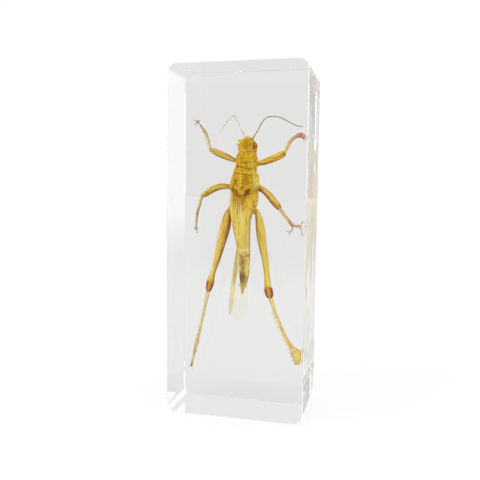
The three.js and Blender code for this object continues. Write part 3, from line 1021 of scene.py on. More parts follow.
@dataclass
class Head:
    """The head: skull, eyes, feelers and mouthparts."""

    centre: Point = (1.6, 1.0, 85.0)
    lumps: tuple[tuple[float, ...], ...] = (
        (1.55, 1.0, 84.9, 3.05, 4.0, 3.0), (1.9, -0.55, 86.15, 1.3, 2.1, 2.15),
        (1.85, 1.6, 85.8, 2.0, 3.6, 2.1), (1.75, 3.6, 84.5, 1.75, 3.1, 2.2),
        (1.6, 1.8, 83.8, 2.8, 3.4, 2.2),
    )
    eyes: tuple[tuple[float, ...], ...] = (
        (-0.55, -0.45, 86.25, 1.02, 1.4, 1.1), (3.9, -0.45, 85.05, 1.15, 1.5, 1.5),
    )
    simple_eyes: tuple[Point, ...] = ((0.75, -1.9, 87.0), (3.0, -1.95, 86.8), (1.95, -0.9, 88.15))
    left_feeler: Stations = (
        (1.3, -1.2, 87.4, 0.32, 0.32), (1.0, -1.5, 88.3, 0.22, 0.22), (0.2, -1.9, 89.8, 0.16, 0.16),
        (-0.75, -2.3, 91.75, 0.15, 0.15), (-1.55, -2.6, 93.4, 0.17, 0.17),
        (-2.1, -2.7, 94.35, 0.2, 0.2), (-2.55, -2.7, 94.5, 0.2, 0.2),
        (-3.3, -2.5, 94.1, 0.13, 0.13), (-4.6, -2.2, 92.8, 0.11, 0.11),
        (-6.1, -1.7, 90.9, 0.09, 0.09), (-7.4, -1.2, 89.1, 0.07, 0.07),
    )
    right_feeler: Stations = (
        (3.3, -1.2, 87.1, 0.34, 0.34), (3.75, -1.5, 87.8, 0.26, 0.26),
        (5.5, -2.1, 90.35, 0.21, 0.21), (6.4, -2.3, 92.0, 0.2, 0.2), (7.2, -2.4, 93.1, 0.19, 0.19),
        (8.2, -2.5, 93.9, 0.19, 0.19), (9.6, -2.4, 94.15, 0.18, 0.18),
        (12.2, -2.0, 93.85, 0.17, 0.17), (14.9, -1.4, 92.5, 0.16, 0.16),
        (17.3, -0.8, 91.4, 0.14, 0.14), (18.4, -0.4, 91.15, 0.13, 0.13),
        (19.2, -0.1, 91.2, 0.11, 0.11),
    )
    palps: tuple[Stations, ...] = (
        ((0.5, 4.6, 83.9, 0.28, 0.28), (-0.2, 5.7, 83.2, 0.24, 0.24), (-0.3, 6.3, 82.0, 0.26, 0.26)),
        ((2.9, 4.6, 83.8, 0.28, 0.28), (3.6, 5.7, 83.0, 0.24, 0.24), (3.6, 6.3, 81.8, 0.26, 0.26)),
        ((1.1, 5.6, 83.4, 0.24, 0.24), (0.8, 6.4, 82.6, 0.2, 0.2), (0.8, 6.7, 81.7, 0.22, 0.22)),
        ((2.4, 5.6, 83.4, 0.24, 0.24), (2.6, 6.4, 82.5, 0.2, 0.2), (2.6, 6.7, 81.6, 0.22, 0.22)),
    )
    jaws: tuple[Point, ...] = ((0.9, 5.9, 84.1), (2.6, 5.9, 84.0))
    jaw_size: Point = (0.9, 0.9, 1.1)
    lip: Point = (1.75, 6.0, 84.9)
    lip_size: Point = (1.25, 0.75, 0.8)
    simple_eye_size: float = 0.2
    feeler_segment: float = 0.75

    def skull(self) -> Shell:
        """The melted lumps, with a crown ridge, a brow line and seams on the face.

        Returns:
            A closed shell.
        """
        shell = melted(self.centre, self.lumps, rows=110, sides=150)
        x, y, z = shell.points.T
        crown = bump(x, 1.85, 0.13) * (y < -0.6)
        cheek = bump(np.abs(x - 1.65), 1.15, 0.1) * (y > 0.2)
        seam = bump(y, 4.6, 0.12) * bump(z, 84, 3.5)
        collar = bump(z, 83.5, 0.25)
        push = 0.05 * crown + 0.09 * cheek - 0.08 * seam - 0.1 * collar
        push = push + 0.03 * wave(x * 2.1, z * 2.3, 0.7)
        shell.points = shell.points + shell.place * push[:, None]
        shell.tint = np.clip(0.35 * crown + 0.8 * seam + 0.6 * collar, 0, 1)
        return shell

    def feeler(self, stations: Stations) -> Shell:
        """A thread of short segments: the radius falls at each joint between two.

        Args:
            stations: The thread's line and sizes.

        Returns:
            A closed shell.
        """
        run = Run(stations)
        segments = round(run.length / self.feeler_segment)

        def relief(t: np.ndarray, angle: np.ndarray) -> tuple[np.ndarray, np.ndarray]:
            """Swell each segment between its two joints.

            Args:
                t: Places along the run.
                angle: Angles round it.

            Returns:
                The factor of growth and the tint.
            """
            joint = np.abs(np.sin(math.pi * segments * t)) ** 0.4
            return 0.8 + 0.25 * joint + 0 * angle, 0.6 * (1 - joint) + 0 * angle

        return loft(run, segments * 6, 10, ends=(0.2, 0.3), relief=relief)

    def build(self, shop: Workshop) -> None:
        """Make the pieces of the head.

        Args:
            shop: The workshop that makes them.
        """
        skin = Chitin(
            "head_skin",
            base=(0.72, 0.42, 0.006),
            second=(0.92, 0.56, 0.02),
            groove=(0.26, 0.12, 0.001),
            light=(0.96, 0.82, 0.26),
            mottle=1.0,
            patches=(
                Patch((1.7, -3.2, 85.5), (0.9, 2.0, 1.7), (0.44, 0.27, 0.002), 0.7),
                Patch((1.9, -1.6, 88.0), (0.9, 1.6, 0.6), (0.90, 0.64, 0.05), 0.8),
                Patch((4.5, -1.6, 83.6), (0.8, 2.0, 1.1), (0.88, 0.50, 0.10), 0.8),
                Patch((-1.2, -1.0, 84.4), (0.7, 2.0, 1.2), (0.70, 0.34, 0.02), 0.6),
            ),
        ).material()
        shop.piece("head", self.skull(), skin)
        shades = (
            # The left eye's golden dome and pale cloud are a painted highlight; the right eye keeps the
            # eye's dark red-brown.
            Eye("left_eye_painted_highlight", (0.90, 0.62, 0.04), (0.98, 0.82, 0.18), (0.40, 0.18, 0.005)),
            Eye("right_eye_dome", (0.34, 0.08, 0.004), (0.62, 0.24, 0.02), (0.92, 0.50, 0.06)),
        )
        for name, eye, shade in zip(("left_eye", "right_eye"), self.eyes, shades):
            shell = beads(np.array(eye[:3]), np.array(eye[3:]), rows=40, sides=56)
            shop.piece(name, shell, shade.material())
        dots = beads(np.array(self.simple_eyes), np.full((3, 3), self.simple_eye_size))
        shop.piece("simple_eyes", dots, Eye("simple_eye_dome", GOLD, STRAW, UMBER).material())
        pale = Limb(
            "left_feeler_skin",
            base=(0.80, 0.76, 0.42),
            stripe=BUFF,
            knee=BUFF,
            far=(0.60, 0.58, 0.46),
            far_from=0.45,
        )
        shop.piece("left_feeler", self.feeler(self.left_feeler), pale.material())
        dark = Limb(
            "right_feeler_skin",
            base=(0.56, 0.48, 0.12),
            stripe=OLIVE,
            knee=OLIVE,
            far=(0.40, 0.36, 0.18),
        )
        shop.piece("right_feeler", self.feeler(self.right_feeler), dark.material())
        mouth = [loft(Run(palp), 26, 10, ends=(0.2, 0.25)) for palp in self.palps]
        jaws = beads(np.array(self.jaws), np.array([self.jaw_size] * 2), rows=14, sides=20)
        lip = beads(np.array(self.lip), np.array(self.lip_size), rows=14, sides=24)
        horny = Limb("mouth_skin", GOLD, UMBER, RUST, mottle=0.8)
        shop.piece("mouthparts", joined([jaws, lip, *mouth]), horny.material())


@dataclass
class Thorax:
    """The saddle over the first pair of legs, and the trunk behind it."""

    saddle: Stations = (
        (1.6, 1.0, 84.9, 3.05, 3.7), (1.5, 1.0, 82.6, 3.4, 3.95), (1.45, 1.05, 80.8, 3.42, 4.0),
        (1.3, 1.1, 79.2, 3.45, 4.0), (0.95, 1.2, 76.8, 3.95, 4.2), (0.7, 1.3, 73.6, 4.6, 4.5),
        (0.55, 1.35, 71.4, 4.7, 4.55), (0.5, 1.4, 69.6, 4.6, 4.5), (0.45, 1.6, 66.4, 4.45, 4.45),
    )
    trunk: Stations = (
        (1.5, 1.2, 84.0, 2.9, 3.3), (1.3, 1.3, 80.0, 3.1, 3.6), (0.9, 1.5, 76.8, 3.6, 3.9),
        (0.65, 1.8, 73.0, 4.35, 4.25), (0.6, 1.9, 70.0, 4.6, 4.2), (0.55, 1.9, 67.4, 4.45, 4.0),
        (0.45, 1.8, 65.0, 3.5, 3.4), (0.4, 1.6, 62.5, 2.6, 2.8), (0.35, 1.5, 61.0, 2.2, 2.4),
    )
    grooves: tuple[tuple[float, float, float, float], ...] = (
        (0.255, 1.6, 0.0, 0.34), (0.345, 0.4, 0.1, 0.58), (0.452, -0.5, 0.0, 0.56),
    )
    wall: float = 0.22
    wrap: float = 112.0
    scrap_wall: float = 0.06

    def saddle_shell(self) -> Shell:
        """The saddle's sheet, with its keel, side keels, grooves and wrinkles.

        Rows run from the front edge, which sweeps back towards the flanks, to the rear
        edge, which sweeps forward, and columns from one flank over the back to the other.

        Returns:
            A closed shell.
        """
        rows, columns = 240, 190
        run = Run(self.saddle)
        v = np.linspace(0, 1, rows)[:, None]
        u = np.linspace(-1, 1, columns)[None, :]
        turn = u * math.radians(self.wrap)
        front = 0.03 + 0.30 * np.minimum(np.abs(u), 0.7) ** 2 + 0.02 * np.sin(2 * u)
        sweep = np.sin(math.pi / 2 * np.clip(np.abs(u) / 0.55, 0, 1)) ** 1.3
        rear = 0.93 - 0.2 * sweep + 0.012 * wave(u * 9, u * 0, 1.3)
        t = front + (rear - front) * v
        flat = t.ravel()
        order = np.argsort(flat)
        centre, size, across, deep = (np.empty((flat.size, n)) for n in (3, 2, 3, 3))
        read = run.read(flat[order] + 1e-9 * np.arange(flat.size))
        for target, values in zip((centre, size, across, deep), read):
            target[order] = values
        angle = np.broadcast_to(-math.pi / 2 + turn, t.shape).reshape(-1, 1)
        grid = centre + across * (size[:, :1] * np.cos(angle)) + deep * (size[:, 1:] * np.sin(angle))
        grid = grid.reshape(rows, columns, 3)
        keel = bump(u, 0, 0.022) * np.clip(v * 12, 0, 1)
        side = bump(np.abs(u), 0.36, 0.02) * (0.4 + 0.6 * v)
        waver = 0.006 * np.sin(u * 9 + 1) + 0.004 * wave(u * 22, u * 0, 0.5)
        cut = sum(
            bump(t, at - 0.02 * np.abs(u) + waver * bend, 0.009 + 0.004 * wave(u * 30, at * 50, 1.0))
            * np.clip((reach - np.abs(u - aside)) * 9, 0, 1)
            for at, bend, aside, reach in self.grooves
        )
        edge = bump(v, 0, 0.03) + bump(v, 1, 0.025)
        rough = wave(u * 60, t * 160, 0.2) * np.clip((t - 0.42) * 4, 0, 1)
        lift = 0.16 * keel * (1 - 0.8 * cut) + 0.08 * side - 0.2 * cut + 0.1 * edge
        lift = lift + 0.035 * rough + 0.04 * wave(u * 14, t * 30, 2.2)
        tint = np.clip(0.95 * cut + 0.15 * rough, 0, 1)
        return walled(grid, self.wall, lift, tint)

    def trunk_shell(self) -> Shell:
        """The trunk, with plates under it and oblique seams on its flanks.

        Returns:
            A closed shell.
        """

        def relief(t: np.ndarray, angle: np.ndarray) -> tuple[np.ndarray, np.ndarray]:
            """Cut the seams of the flanks and the plates below.

            Args:
                t: Places along the run.
                angle: Angles round it.

            Returns:
                The factor of growth and the tint.
            """
            belly = np.clip(np.sin(angle), 0, 1)
            flank = np.abs(np.cos(angle))
            seams = sum(bump(t + 0.05 * np.sin(angle), c, 0.006) for c in (0.3, 0.44, 0.56, 0.68, 0.8))
            plates = bump(np.cos(angle), 0, 0.07) * belly
            rise = 0.02 * wave(t * 40, angle * 5, 0.9) - 0.05 * seams * (0.3 + 0.7 * flank) - 0.04 * plates
            return 1 + rise, np.clip(0.8 * seams + 0.6 * plates, 0, 1)

        return loft(Run(self.trunk), 190, 120, ends=(1.2, 1.2), relief=relief, boxy=0.94)

    def torn_skin(self) -> Shell:
        """A pale, crumpled scrap of skin that stands off the right flank.

        Returns:
            A closed shell.
        """
        rows, columns = 80, 40
        v = np.linspace(0, 1, rows)[:, None]
        u = np.linspace(0, 1, columns)[None, :]
        out = np.sin(math.pi * v) ** 0.7
        x = 3.75 + 2.05 * u * out + 0.5 * wave(v * 9, u * 3, 0.4)
        y = -2.1 + 2.0 * u**1.5 + 0.35 * wave(v * 13, u * 10, 2.0)
        z = 77.9 - 7.4 * v + 0.5 * u * wave(v * 8, u * 4, 1.1)
        grid = np.stack(np.broadcast_arrays(x, y, z), axis=-1)
        tint = np.clip(0.3 + 1.3 * wave(v * 22, u * 13, 3.0), 0, 1)
        return walled(grid, self.scrap_wall, np.zeros((rows, columns)), tint)

    def build(self, shop: Workshop) -> None:
        """Make the pieces of the thorax.

        Args:
            shop: The workshop that makes them.
        """
        skin = Chitin(
            "saddle_skin",
            base=(0.76, 0.36, 0.003),
            second=(0.98, 0.63, 0.02),
            groove=(0.26, 0.085, 0.001),
            light=(1.0, 0.80, 0.07),
            # The pale front margin is in part a painted highlight.
            margin=(0.90, 0.66, 0.30),
            mottle=1.0,
            patches=(
                Patch((-1.9, -3.0, 74.0), (0.5, 2.0, 1.1), UMBER, 0.8),
                Patch((-2.6, -2.6, 71.3), (0.8, 2.5, 1.5), UMBER, 0.9),
                Patch((-1.2, -3.0, 70.4), (0.6, 2.5, 1.3), (0.30, 0.11, 0.003), 0.9),
                Patch((0.0, -3.4, 74.6), (0.26, 1.5, 2.6), (0.95, 0.74, 0.08), 0.8),
                Patch((-2.9, -2.6, 77.4), (0.8, 2.5, 1.8), (0.62, 0.29, 0.004), 0.6),
                Patch((3.3, -2.6, 79.6), (1.0, 2.5, 2.2), (0.92, 0.62, 0.06), 0.6),
                Patch((1.9, -3.2, 74.4), (0.9, 1.8, 1.8), (0.50, 0.24, 0.004), 0.7),
                Patch((0.6, -3.5, 72.0), (0.9, 2.0, 0.8), (0.44, 0.19, 0.003), 0.6),
                Patch((1.7, -3.2, 71.0), (1.1, 2.2, 2.1), (0.94, 0.58, 0.05), 0.7, turn=-35),
                Patch((2.1, -3.2, 70.7), (0.8, 2.0, 1.7), (0.26, 0.075, 0.003), 1.0, turn=-35),
                Patch((-0.3, -3.2, 69.6), (1.0, 2.0, 0.8), (0.34, 0.13, 0.003), 0.9),
                Patch((0.9, -3.2, 68.2), (0.9, 2.0, 0.8), (0.55, 0.23, 0.006), 0.9),
            ),
        ).material()
        shop.piece("saddle", self.saddle_shell(), skin)
        trunk = Chitin(
            "trunk_skin",
            base=(0.94, 0.60, 0.05),
            second=(0.99, 0.74, 0.12),
            groove=(0.42, 0.19, 0.005),
            light=STRAW,
            mottle=0.5,
            patches=(
                Patch((-1.6, -2.2, 70.3), (2.0, 2.5, 1.5), UMBER, 0.9),
                Patch((0.6, -2.2, 68.2), (1.8, 2.5, 1.3), (0.46, 0.19, 0.005), 0.9),
                Patch((4.2, -1.6, 66.0), (0.35, 2.5, 0.9), UMBER, 0.8),
            ),
        ).material()
        shop.piece("trunk", self.trunk_shell(), trunk)
        scrap = Wing(
            "torn_skin",
            base=(0.98, 0.80, 0.16),
            streak=(0.94, 0.64, 0.05),
            vein=(0.84, 0.56, 0.04),
            light=(1.0, 0.94, 0.46),
            solid=0.74,
            tip=0.6,
        )
        shop.piece("torn_skin", self.torn_skin(), scrap.material())


@dataclass
class Abdomen:
    """The ringed abdomen with the valves at its end."""

    body: Stations = (
        (0.35, 1.5, 64.0, 2.5, 2.7), (0.35, 1.4, 60.3, 2.4, 2.6), (0.5, 1.25, 57.1, 2.25, 2.4),
        (0.65, 1.1, 53.9, 2.1, 2.25), (0.85, 0.95, 50.7, 1.95, 2.1), (1.0, 0.85, 47.5, 1.8, 1.95),
        (1.0, 0.7, 44.4, 1.65, 1.75), (0.85, 0.6, 41.6, 1.15, 1.35), (0.65, 0.55, 39.9, 0.6, 0.8),
    )
    rings: int = 9
    valve_feet: tuple[Point, ...] = (
        (0.3, 0.1, 40.6), (1.05, 0.1, 40.5), (0.3, 0.9, 40.4), (1.0, 0.9, 40.3),
    )
    valve_tips: tuple[Point, ...] = (
        (0.3, -0.2, 37.7), (0.62, -0.2, 37.8), (0.3, 1.1, 38.0), (0.6, 1.1, 38.0),
    )
    cerci_feet: tuple[Point, ...] = ((-0.25, 0.2, 41.4), (1.75, 0.2, 41.3))
    cerci_tips: tuple[Point, ...] = ((-0.75, -0.1, 39.9), (1.95, -0.1, 39.8))

    def shell(self) -> Shell:
        """Rings that flare towards the tail, each stepping in under the one before.

        Returns:
            A closed shell.
        """

        def relief(t: np.ndarray, angle: np.ndarray) -> tuple[np.ndarray, np.ndarray]:
            """Flare each ring towards the tail, and fold the flanks.

            Args:
                t: Places along the run.
                angle: Angles round it.

            Returns:
                The factor of growth and the tint.
            """
            ring = (t * self.rings) % 1
            step = ring**0.7 * 0.024 - 0.022 * bump(ring, 0, 0.06) - 0.018 * bump(ring, 1, 0.05)
            fold = bump(np.abs(np.cos(angle)), 1, 0.02) * (np.sin(angle) > -0.3)
            seam = bump(ring, 0, 0.07) + bump(ring, 1, 0.07)
            rise = step - 0.05 * fold + 0.012 * wave(t * 70, angle * 6, 1.7)
            return 1 + rise, np.clip(0.35 * seam + 0.5 * fold, 0, 1)

        return loft(Run(self.body), self.rings * 24, 90, ends=(0.8, 0.7), relief=relief)

    def build(self, shop: Workshop) -> None:
        """Make the pieces of the abdomen.

        Args:
            shop: The workshop that makes them.
        """
        skin = Chitin(
            "abdomen_skin",
            base=(0.74, 0.47, 0.04),
            second=(0.96, 0.74, 0.15),
            groove=(0.34, 0.15, 0.006),
            light=(0.96, 0.84, 0.38),
            patches=(
                Patch((0.5, -1.0, 43.4), (1.35, 2.5, 1.9), (0.26, 0.07, 0.003), 1.0),
                Patch((0.7, -1.0, 47.8), (0.55, 2.0, 3.0), (0.46, 0.24, 0.012), 0.85),
                Patch((-0.5, -1.0, 46.8), (0.5, 2.0, 3.4), (0.95, 0.80, 0.32), 0.8),
                Patch((2.3, -1.0, 47.0), (0.6, 2.0, 3.8), (0.95, 0.82, 0.34), 0.85),
                Patch((0.7, 0.0, 39.6), (0.8, 2.0, 1.2), (0.74, 0.56, 0.12), 0.8),
            ),
        ).material()
        shop.piece("abdomen", self.shell(), skin)
        valves = horns(np.array(self.valve_feet), np.array(self.valve_tips), radius=0.42)
        cerci = horns(np.array(self.cerci_feet), np.array(self.cerci_tips), radius=0.22)
        tip = Horn("valve_skin", (0.66, 0.46, 0.05), (0.52, 0.34, 0.04), dark_from=0.6)
        shop.piece("tail_valves", joined([valves, cerci]), tip.material())


@dataclass(frozen=True)
class Blade:
    """One wing: its line and widths, its arch, its veins and its finish."""

    name: str
    stations: Stations
    arch: float
    veins: tuple[tuple[float, float], ...]
    net: float
    wall: float
    finish: Wing
    pleats: int = 0

    def shell(self) -> Shell:
        """A sheet across the run, arched towards the front.

        A point is centre + across * width * u, moved forward by the arch times
        (1 - u squared). Veins run from one share of the width at the root to another at
        the tip and stand up by the width of a hair, with a finer net between them.

        Returns:
            A closed shell.
        """
        rows, columns = 300, 64
        run = Run(self.stations)
        t = np.linspace(0, 1, rows)
        u = np.linspace(-1, 1, columns)
        centre, size, across, _ = run.read(t)
        round_off = np.sqrt(np.clip(1 - np.clip((t - 0.93) / 0.07, 0, 1) ** 2, 0.02, 1))
        width = size[:, 0] * round_off
        grid = centre[:, None] + across[:, None] * (width[:, None] * u[None, :])[..., None]
        bow = self.arch * (1 - u[None, :] ** 2) * (width / width.max())[:, None]
        t, u = t[:, None], u[None, :]
        fan = 0.12 * np.sin(math.pi * self.pleats * (u + 1)) * np.clip(t * 2, 0, 1)
        ripple = 0.05 * wave(u * 5, t * 25, self.net)
        grid = grid + FRONT * (bow + fan + ripple)[..., None]
        lines = sum(bump(u, a + (b - a) * t, 0.035) for a, b in self.veins)
        along, over = t * run.length / self.net, u * width[:, None] / self.net
        mesh = bump(np.sin(math.pi * (along + 0.25 * np.sin(3 * over))), 0, 0.22) * (t > 0.12)
        cross = bump(np.sin(math.pi * (over * 1.3 + 0.2 * np.sin(2 * along))), 0, 0.2) * (t > 0.3)
        vein = np.clip(lines + 0.45 * mesh + 0.3 * cross, 0, 1)
        return walled(grid, self.wall, 0.028 * vein, vein)


TEGMEN_VEINS = (
    (-0.88, -0.75), (-0.7, -0.4), (-0.48, -0.1), (-0.2, 0.25), (0.12, 0.5), (0.45, 0.7),
    (0.72, 0.86),
)
FAN_VEINS = tuple((v, v * 1.02) for v in (-0.85, -0.6, -0.35, -0.1, 0.15, 0.4, 0.65, 0.9))


@dataclass
class Wings:
    """Wings laid along the abdomen: the hindwings as one blade, and crossed forewings."""

    blades: tuple[Blade, ...] = (
        Blade(
            name="hindwings",
            stations=(
                (0.4, -1.5, 66.0, 2.4, 0.3), (0.6, -1.45, 58.0, 1.9, 0.3),
                (0.4, -1.4, 50.0, 2.2, 0.3), (-0.1, -1.25, 43.0, 2.7, 0.3),
                (-0.3, -1.1, 36.0, 2.9, 0.3), (-0.5, -1.0, 31.5, 2.5, 0.3),
                (-0.6, -1.0, 29.3, 1.6, 0.3),
            ),
            arch=0.25,
            veins=FAN_VEINS,
            net=1.6,
            wall=0.03,
            finish=Wing(
                "hindwing_skin",
                base=(0.96, 0.90, 0.34),
                streak=(0.94, 0.88, 0.38),
                vein=(0.80, 0.70, 0.24),
                light=(0.98, 0.96, 0.62),
                solid=0.11,
                tip=0.19,
                fade_from=0.66,
                fade_to=0.8,
            ),
            pleats=7,
        ),
        Blade(
            name="right_forewing",
            stations=(
                (2.9, -1.5, 71.0, 1.1, 0.3), (2.2, -2.3, 68.0, 1.6, 0.3),
                (1.6, -2.4, 65.0, 1.75, 0.3), (1.0, -2.35, 61.0, 1.7, 0.3),
                (0.35, -2.2, 56.5, 1.35, 0.3), (-0.3, -2.0, 52.5, 0.95, 0.3),
                (-0.95, -1.85, 49.5, 0.7, 0.3), (-1.53, -1.75, 46.3, 0.75, 0.3),
                (-2.1, -1.6, 42.0, 0.72, 0.3), (-2.62, -1.4, 37.5, 0.7, 0.3),
                (-3.15, -1.2, 32.8, 0.6, 0.3), (-3.35, -1.15, 31.2, 0.5, 0.3),
            ),
            arch=0.3,
            veins=TEGMEN_VEINS,
            net=0.75,
            wall=0.06,
            finish=Wing(
                "right_forewing_skin",
                base=(0.94, 0.82, 0.26),
                streak=(0.70, 0.48, 0.05),
                vein=(0.46, 0.27, 0.02),
                light=(0.98, 0.93, 0.52),
                solid=0.92,
                tip=0.22,
                fade_from=0.45,
                fade_to=1.1,
                edge=0.9,
                root=(0.98, 0.64, 0.03),
                root_dark=(0.78, 0.42, 0.012),
            ),
        ),
        Blade(
            name="left_forewing",
            stations=(
                (-1.5, -1.8, 71.2, 1.7, 0.3), (-0.9, -2.6, 68.5, 2.6, 0.3),
                (-0.25, -2.85, 65.0, 3.0, 0.3), (0.08, -2.85, 61.0, 2.72, 0.3),
                (0.64, -2.75, 56.3, 2.2, 0.3), (1.22, -2.6, 52.0, 1.68, 0.3),
                (1.4, -2.4, 48.5, 1.4, 0.3), (1.55, -2.2, 45.5, 1.1, 0.3),
                (1.7, -2.0, 43.0, 0.6, 0.3),
            ),
            arch=0.45,
            veins=TEGMEN_VEINS,
            net=0.7,
            wall=0.06,
            finish=Wing(
                "left_forewing_skin",
                base=(0.92, 0.73, 0.13),
                streak=(0.84, 0.58, 0.05),
                vein=(0.46, 0.25, 0.015),
                light=(0.98, 0.88, 0.38),
                solid=0.97,
                tip=0.0,
                fade_from=0.66,
                fade_to=0.76,
                edge=0.95,
                edge_side=1.0,
                edge_span=(0.28, 0.45),
                wash=(0.62, 0.48, 0.16),
                root=(0.58, 0.27, 0.006),
                root_dark=(0.34, 0.12, 0.003),
                band=(0.97, 0.80, 0.30),
            ),
        ),
    )
    # Runs of small pale glossy beads that are painted glints: first point, last point and count.
    glint_bead_runs: tuple[tuple[Point, Point, int], ...] = (
        ((2.8, -2.95, 64.6), (2.55, -2.98, 59.0), 9),
        ((0.4, -3.0, 50.9), (2.3, -2.9, 50.9), 10),
        ((-0.3, -2.75, 50.2), (-0.1, -2.7, 48.4), 4),
        ((2.15, -2.8, 50.6), (2.2, -2.55, 44.6), 14),
        ((0.6, -2.75, 49.6), (0.3, -2.7, 46.6), 4),
        ((4.4, -2.6, 73.2), (3.9, -2.8, 71.6), 4),
        ((4.6, -2.3, 67.4), (4.4, -2.2, 65.4), 4),
    )

    def glint_beads(self) -> Shell:
        """Painted glints: small pale glossy beads along short runs, uneven in size and strewn a little to
        each side.

        Returns:
            A closed shell.
        """
        centres = np.concatenate([np.linspace(a, b, n) for a, b, n in self.glint_bead_runs])
        turn = 2.4 * np.arange(len(centres))
        centres[:, 0] += 0.22 * np.sin(turn * 1.7)
        centres[:, 2] += 0.25 * np.sin(turn * 2.9 + 1)
        sizes = 0.062 + 0.035 * np.sin(turn)[:, None]
        return beads(centres, sizes * np.array([1.3, 0.6, 1.0]))

    def build(self, shop: Workshop) -> None:
        """Make the wings and the small pale glossy beads along them, which are painted glints.

        Args:
            shop: The workshop that makes them.
        """
        for blade in self.blades:
            shop.piece(blade.name, blade.shell(), blade.finish.material())
        # The beads are pale and glossy from foot to point: painted glints.
        glint = Horn("painted_glint_gloss", foot=(0.96, 0.88, 0.52), point=(0.96, 0.88, 0.52))
        shop.piece("painted_glint_beads", self.glint_beads(), glint.material())


class Side(Enum):
    """The side of the body that a leg is on, as the sign of X."""

    LEFT = -1
    RIGHT = 1


@dataclass
class Leg:
    """A leg: hip, thigh, shin and foot, with claws, spurs and spines."""

    name: str
    side: Side
    hip: Stations
    thigh: Stations
    shin: Stations
    foot: Stations
    claw_feet: tuple[Point, ...]
    claw_tips: tuple[Point, ...]
    claw_radius: float = 0.17
    neck: float = 0.28
    knee_from: float = 0.9
    knee_colours: tuple[Colour, Colour] = (RUST, (0.72, 0.29, 0.03))
    stripe_side: float = -0.6
    thigh_colours: tuple[Colour, Colour] = (GOLD, (0.46, 0.22, 0.01))
    shin_colours: tuple[Colour, Colour] = (BUFF, ROSE)
    foot_colours: tuple[Colour, Colour] = (BUFF, UMBER)

    def thigh_shell(self) -> Shell:
        """A plain thigh, slightly ridged along its edges.

        Returns:
            A closed shell.
        """

        def relief(t: np.ndarray, angle: np.ndarray) -> tuple[np.ndarray, np.ndarray]:
            """Raise the four edges of the thigh a little.

            Args:
                t: Places along the run.
                angle: Angles round it.

            Returns:
                The factor of growth and the tint.
            """
            ridges = bump(np.abs(np.cos(angle)), 1, 0.03) + bump(np.abs(np.sin(angle)), 1, 0.01)
            rise = 0.05 * ridges + 0.03 * wave(t * 18, angle * 2, 0.5)
            return 1 + rise, 0.4 * ridges * np.clip(np.sin(math.pi * t), 0, 1)

        return loft(Run(self.thigh), 90, 40, ends=(0.5, 0.5), relief=relief)

    def shin_shell(self) -> Shell:
        """A slim shin with shallow flutes.

        Returns:
            A closed shell.
        """

        def relief(t: np.ndarray, angle: np.ndarray) -> tuple[np.ndarray, np.ndarray]:
            """Cut four shallow flutes.

            Args:
                t: Places along the run.
                angle: Angles round it.

            Returns:
                The factor of growth and the tint.
            """
            flute = 0.05 * np.cos(4 * angle) + 0.04 * wave(t * 20, angle * 2, 2.1)
            return 1 + flute, 0.25 * bump(np.cos(4 * angle), -1, 0.5)

        return loft(Run(self.shin), 100, 28, ends=(0.4, 0.4), relief=relief)

    def foot_shell(self) -> Shell:
        """Three foot segments: the foot narrows between them and swells to each pad.

        Returns:
            A closed shell.
        """

        def relief(t: np.ndarray, angle: np.ndarray) -> tuple[np.ndarray, np.ndarray]:
            """Narrow the foot at two joints and swell its pads.

            Args:
                t: Places along the run.
                angle: Angles round it.

            Returns:
                The factor of growth and the tint.
            """
            neck = bump(t, 0.34, 0.045) + bump(t, 0.62, 0.045)
            pad = 0.16 * np.clip(np.sin(angle), 0, 1) * np.abs(np.sin(3 * math.pi * t))
            return 1 - self.neck * neck + pad, 0.7 * neck + 0 * angle

        return loft(Run(self.foot), 70, 22, ends=(0.25, 0.3), relief=relief)

    def claws(self) -> Shell:
        """The claws and spurs of the foot."""
        ends = np.array(self.claw_feet), np.array(self.claw_tips)
        return horns(*ends, self.claw_radius, sag=(0, -0.1, -0.05))

    def thigh_finish(self) -> Limb:
        """The finish of the thigh."""
        return self.thigh_skin(self.stripe_side, mottle=0.7, strands=Run(self.thigh).length / 5.5)

    def thigh_skin(self, stripe_side: float, mottle: float, strands: float) -> Limb:
        """The thigh's colours and knee, with its stripe to one side.

        Args:
            stripe_side: The side of the stripe, from -1 to 1.
            mottle: How much the stripe's colour mottles the rest.
            strands: How finely the colours are drawn out along the thigh.

        Returns:
            The finish.
        """
        base, stripe = self.thigh_colours
        knee, joint = self.knee_colours
        return Limb(
            name=f"{self.name}_thigh_skin",
            base=base,
            stripe=stripe,
            knee=knee,
            joint=joint,
            knee_from=self.knee_from,
            stripe_side=stripe_side,
            mottle=mottle,
            strands=strands,
        )

    def build(self, shop: Workshop) -> None:
        """Make the pieces of the leg.

        Args:
            shop: The workshop that makes them.
        """
        base, stripe = self.thigh_colours
        hip = loft(Run(self.hip), rows=36, sides=36, ends=(0.7, 0.5))
        hip_skin = Limb(f"{self.name}_hip_skin", base, stripe, RUST)
        shop.piece(f"{self.name}_hip", hip, hip_skin.material())
        shop.piece(f"{self.name}_thigh", self.thigh_shell(), self.thigh_finish().material())
        base, far = self.shin_colours
        shin = Limb(f"{self.name}_shin_skin", base, (0.45, 0.27, 0.04), RUST, far=far, far_from=0.5)
        shop.piece(f"{self.name}_shin", self.shin_shell(), shin.material())
        base, dark = self.foot_colours
        foot = Limb(f"{self.name}_foot_skin", base, dark, RUST, far=dark, far_from=0.75)
        shop.piece(f"{self.name}_foot", self.foot_shell(), foot.material())
        claw = Horn(f"{self.name}_claw_horn", foot=base, point=(0.16, 0.07, 0.035), dark_from=0.45)
        shop.piece(f"{self.name}_claws", self.claws(), claw.material())


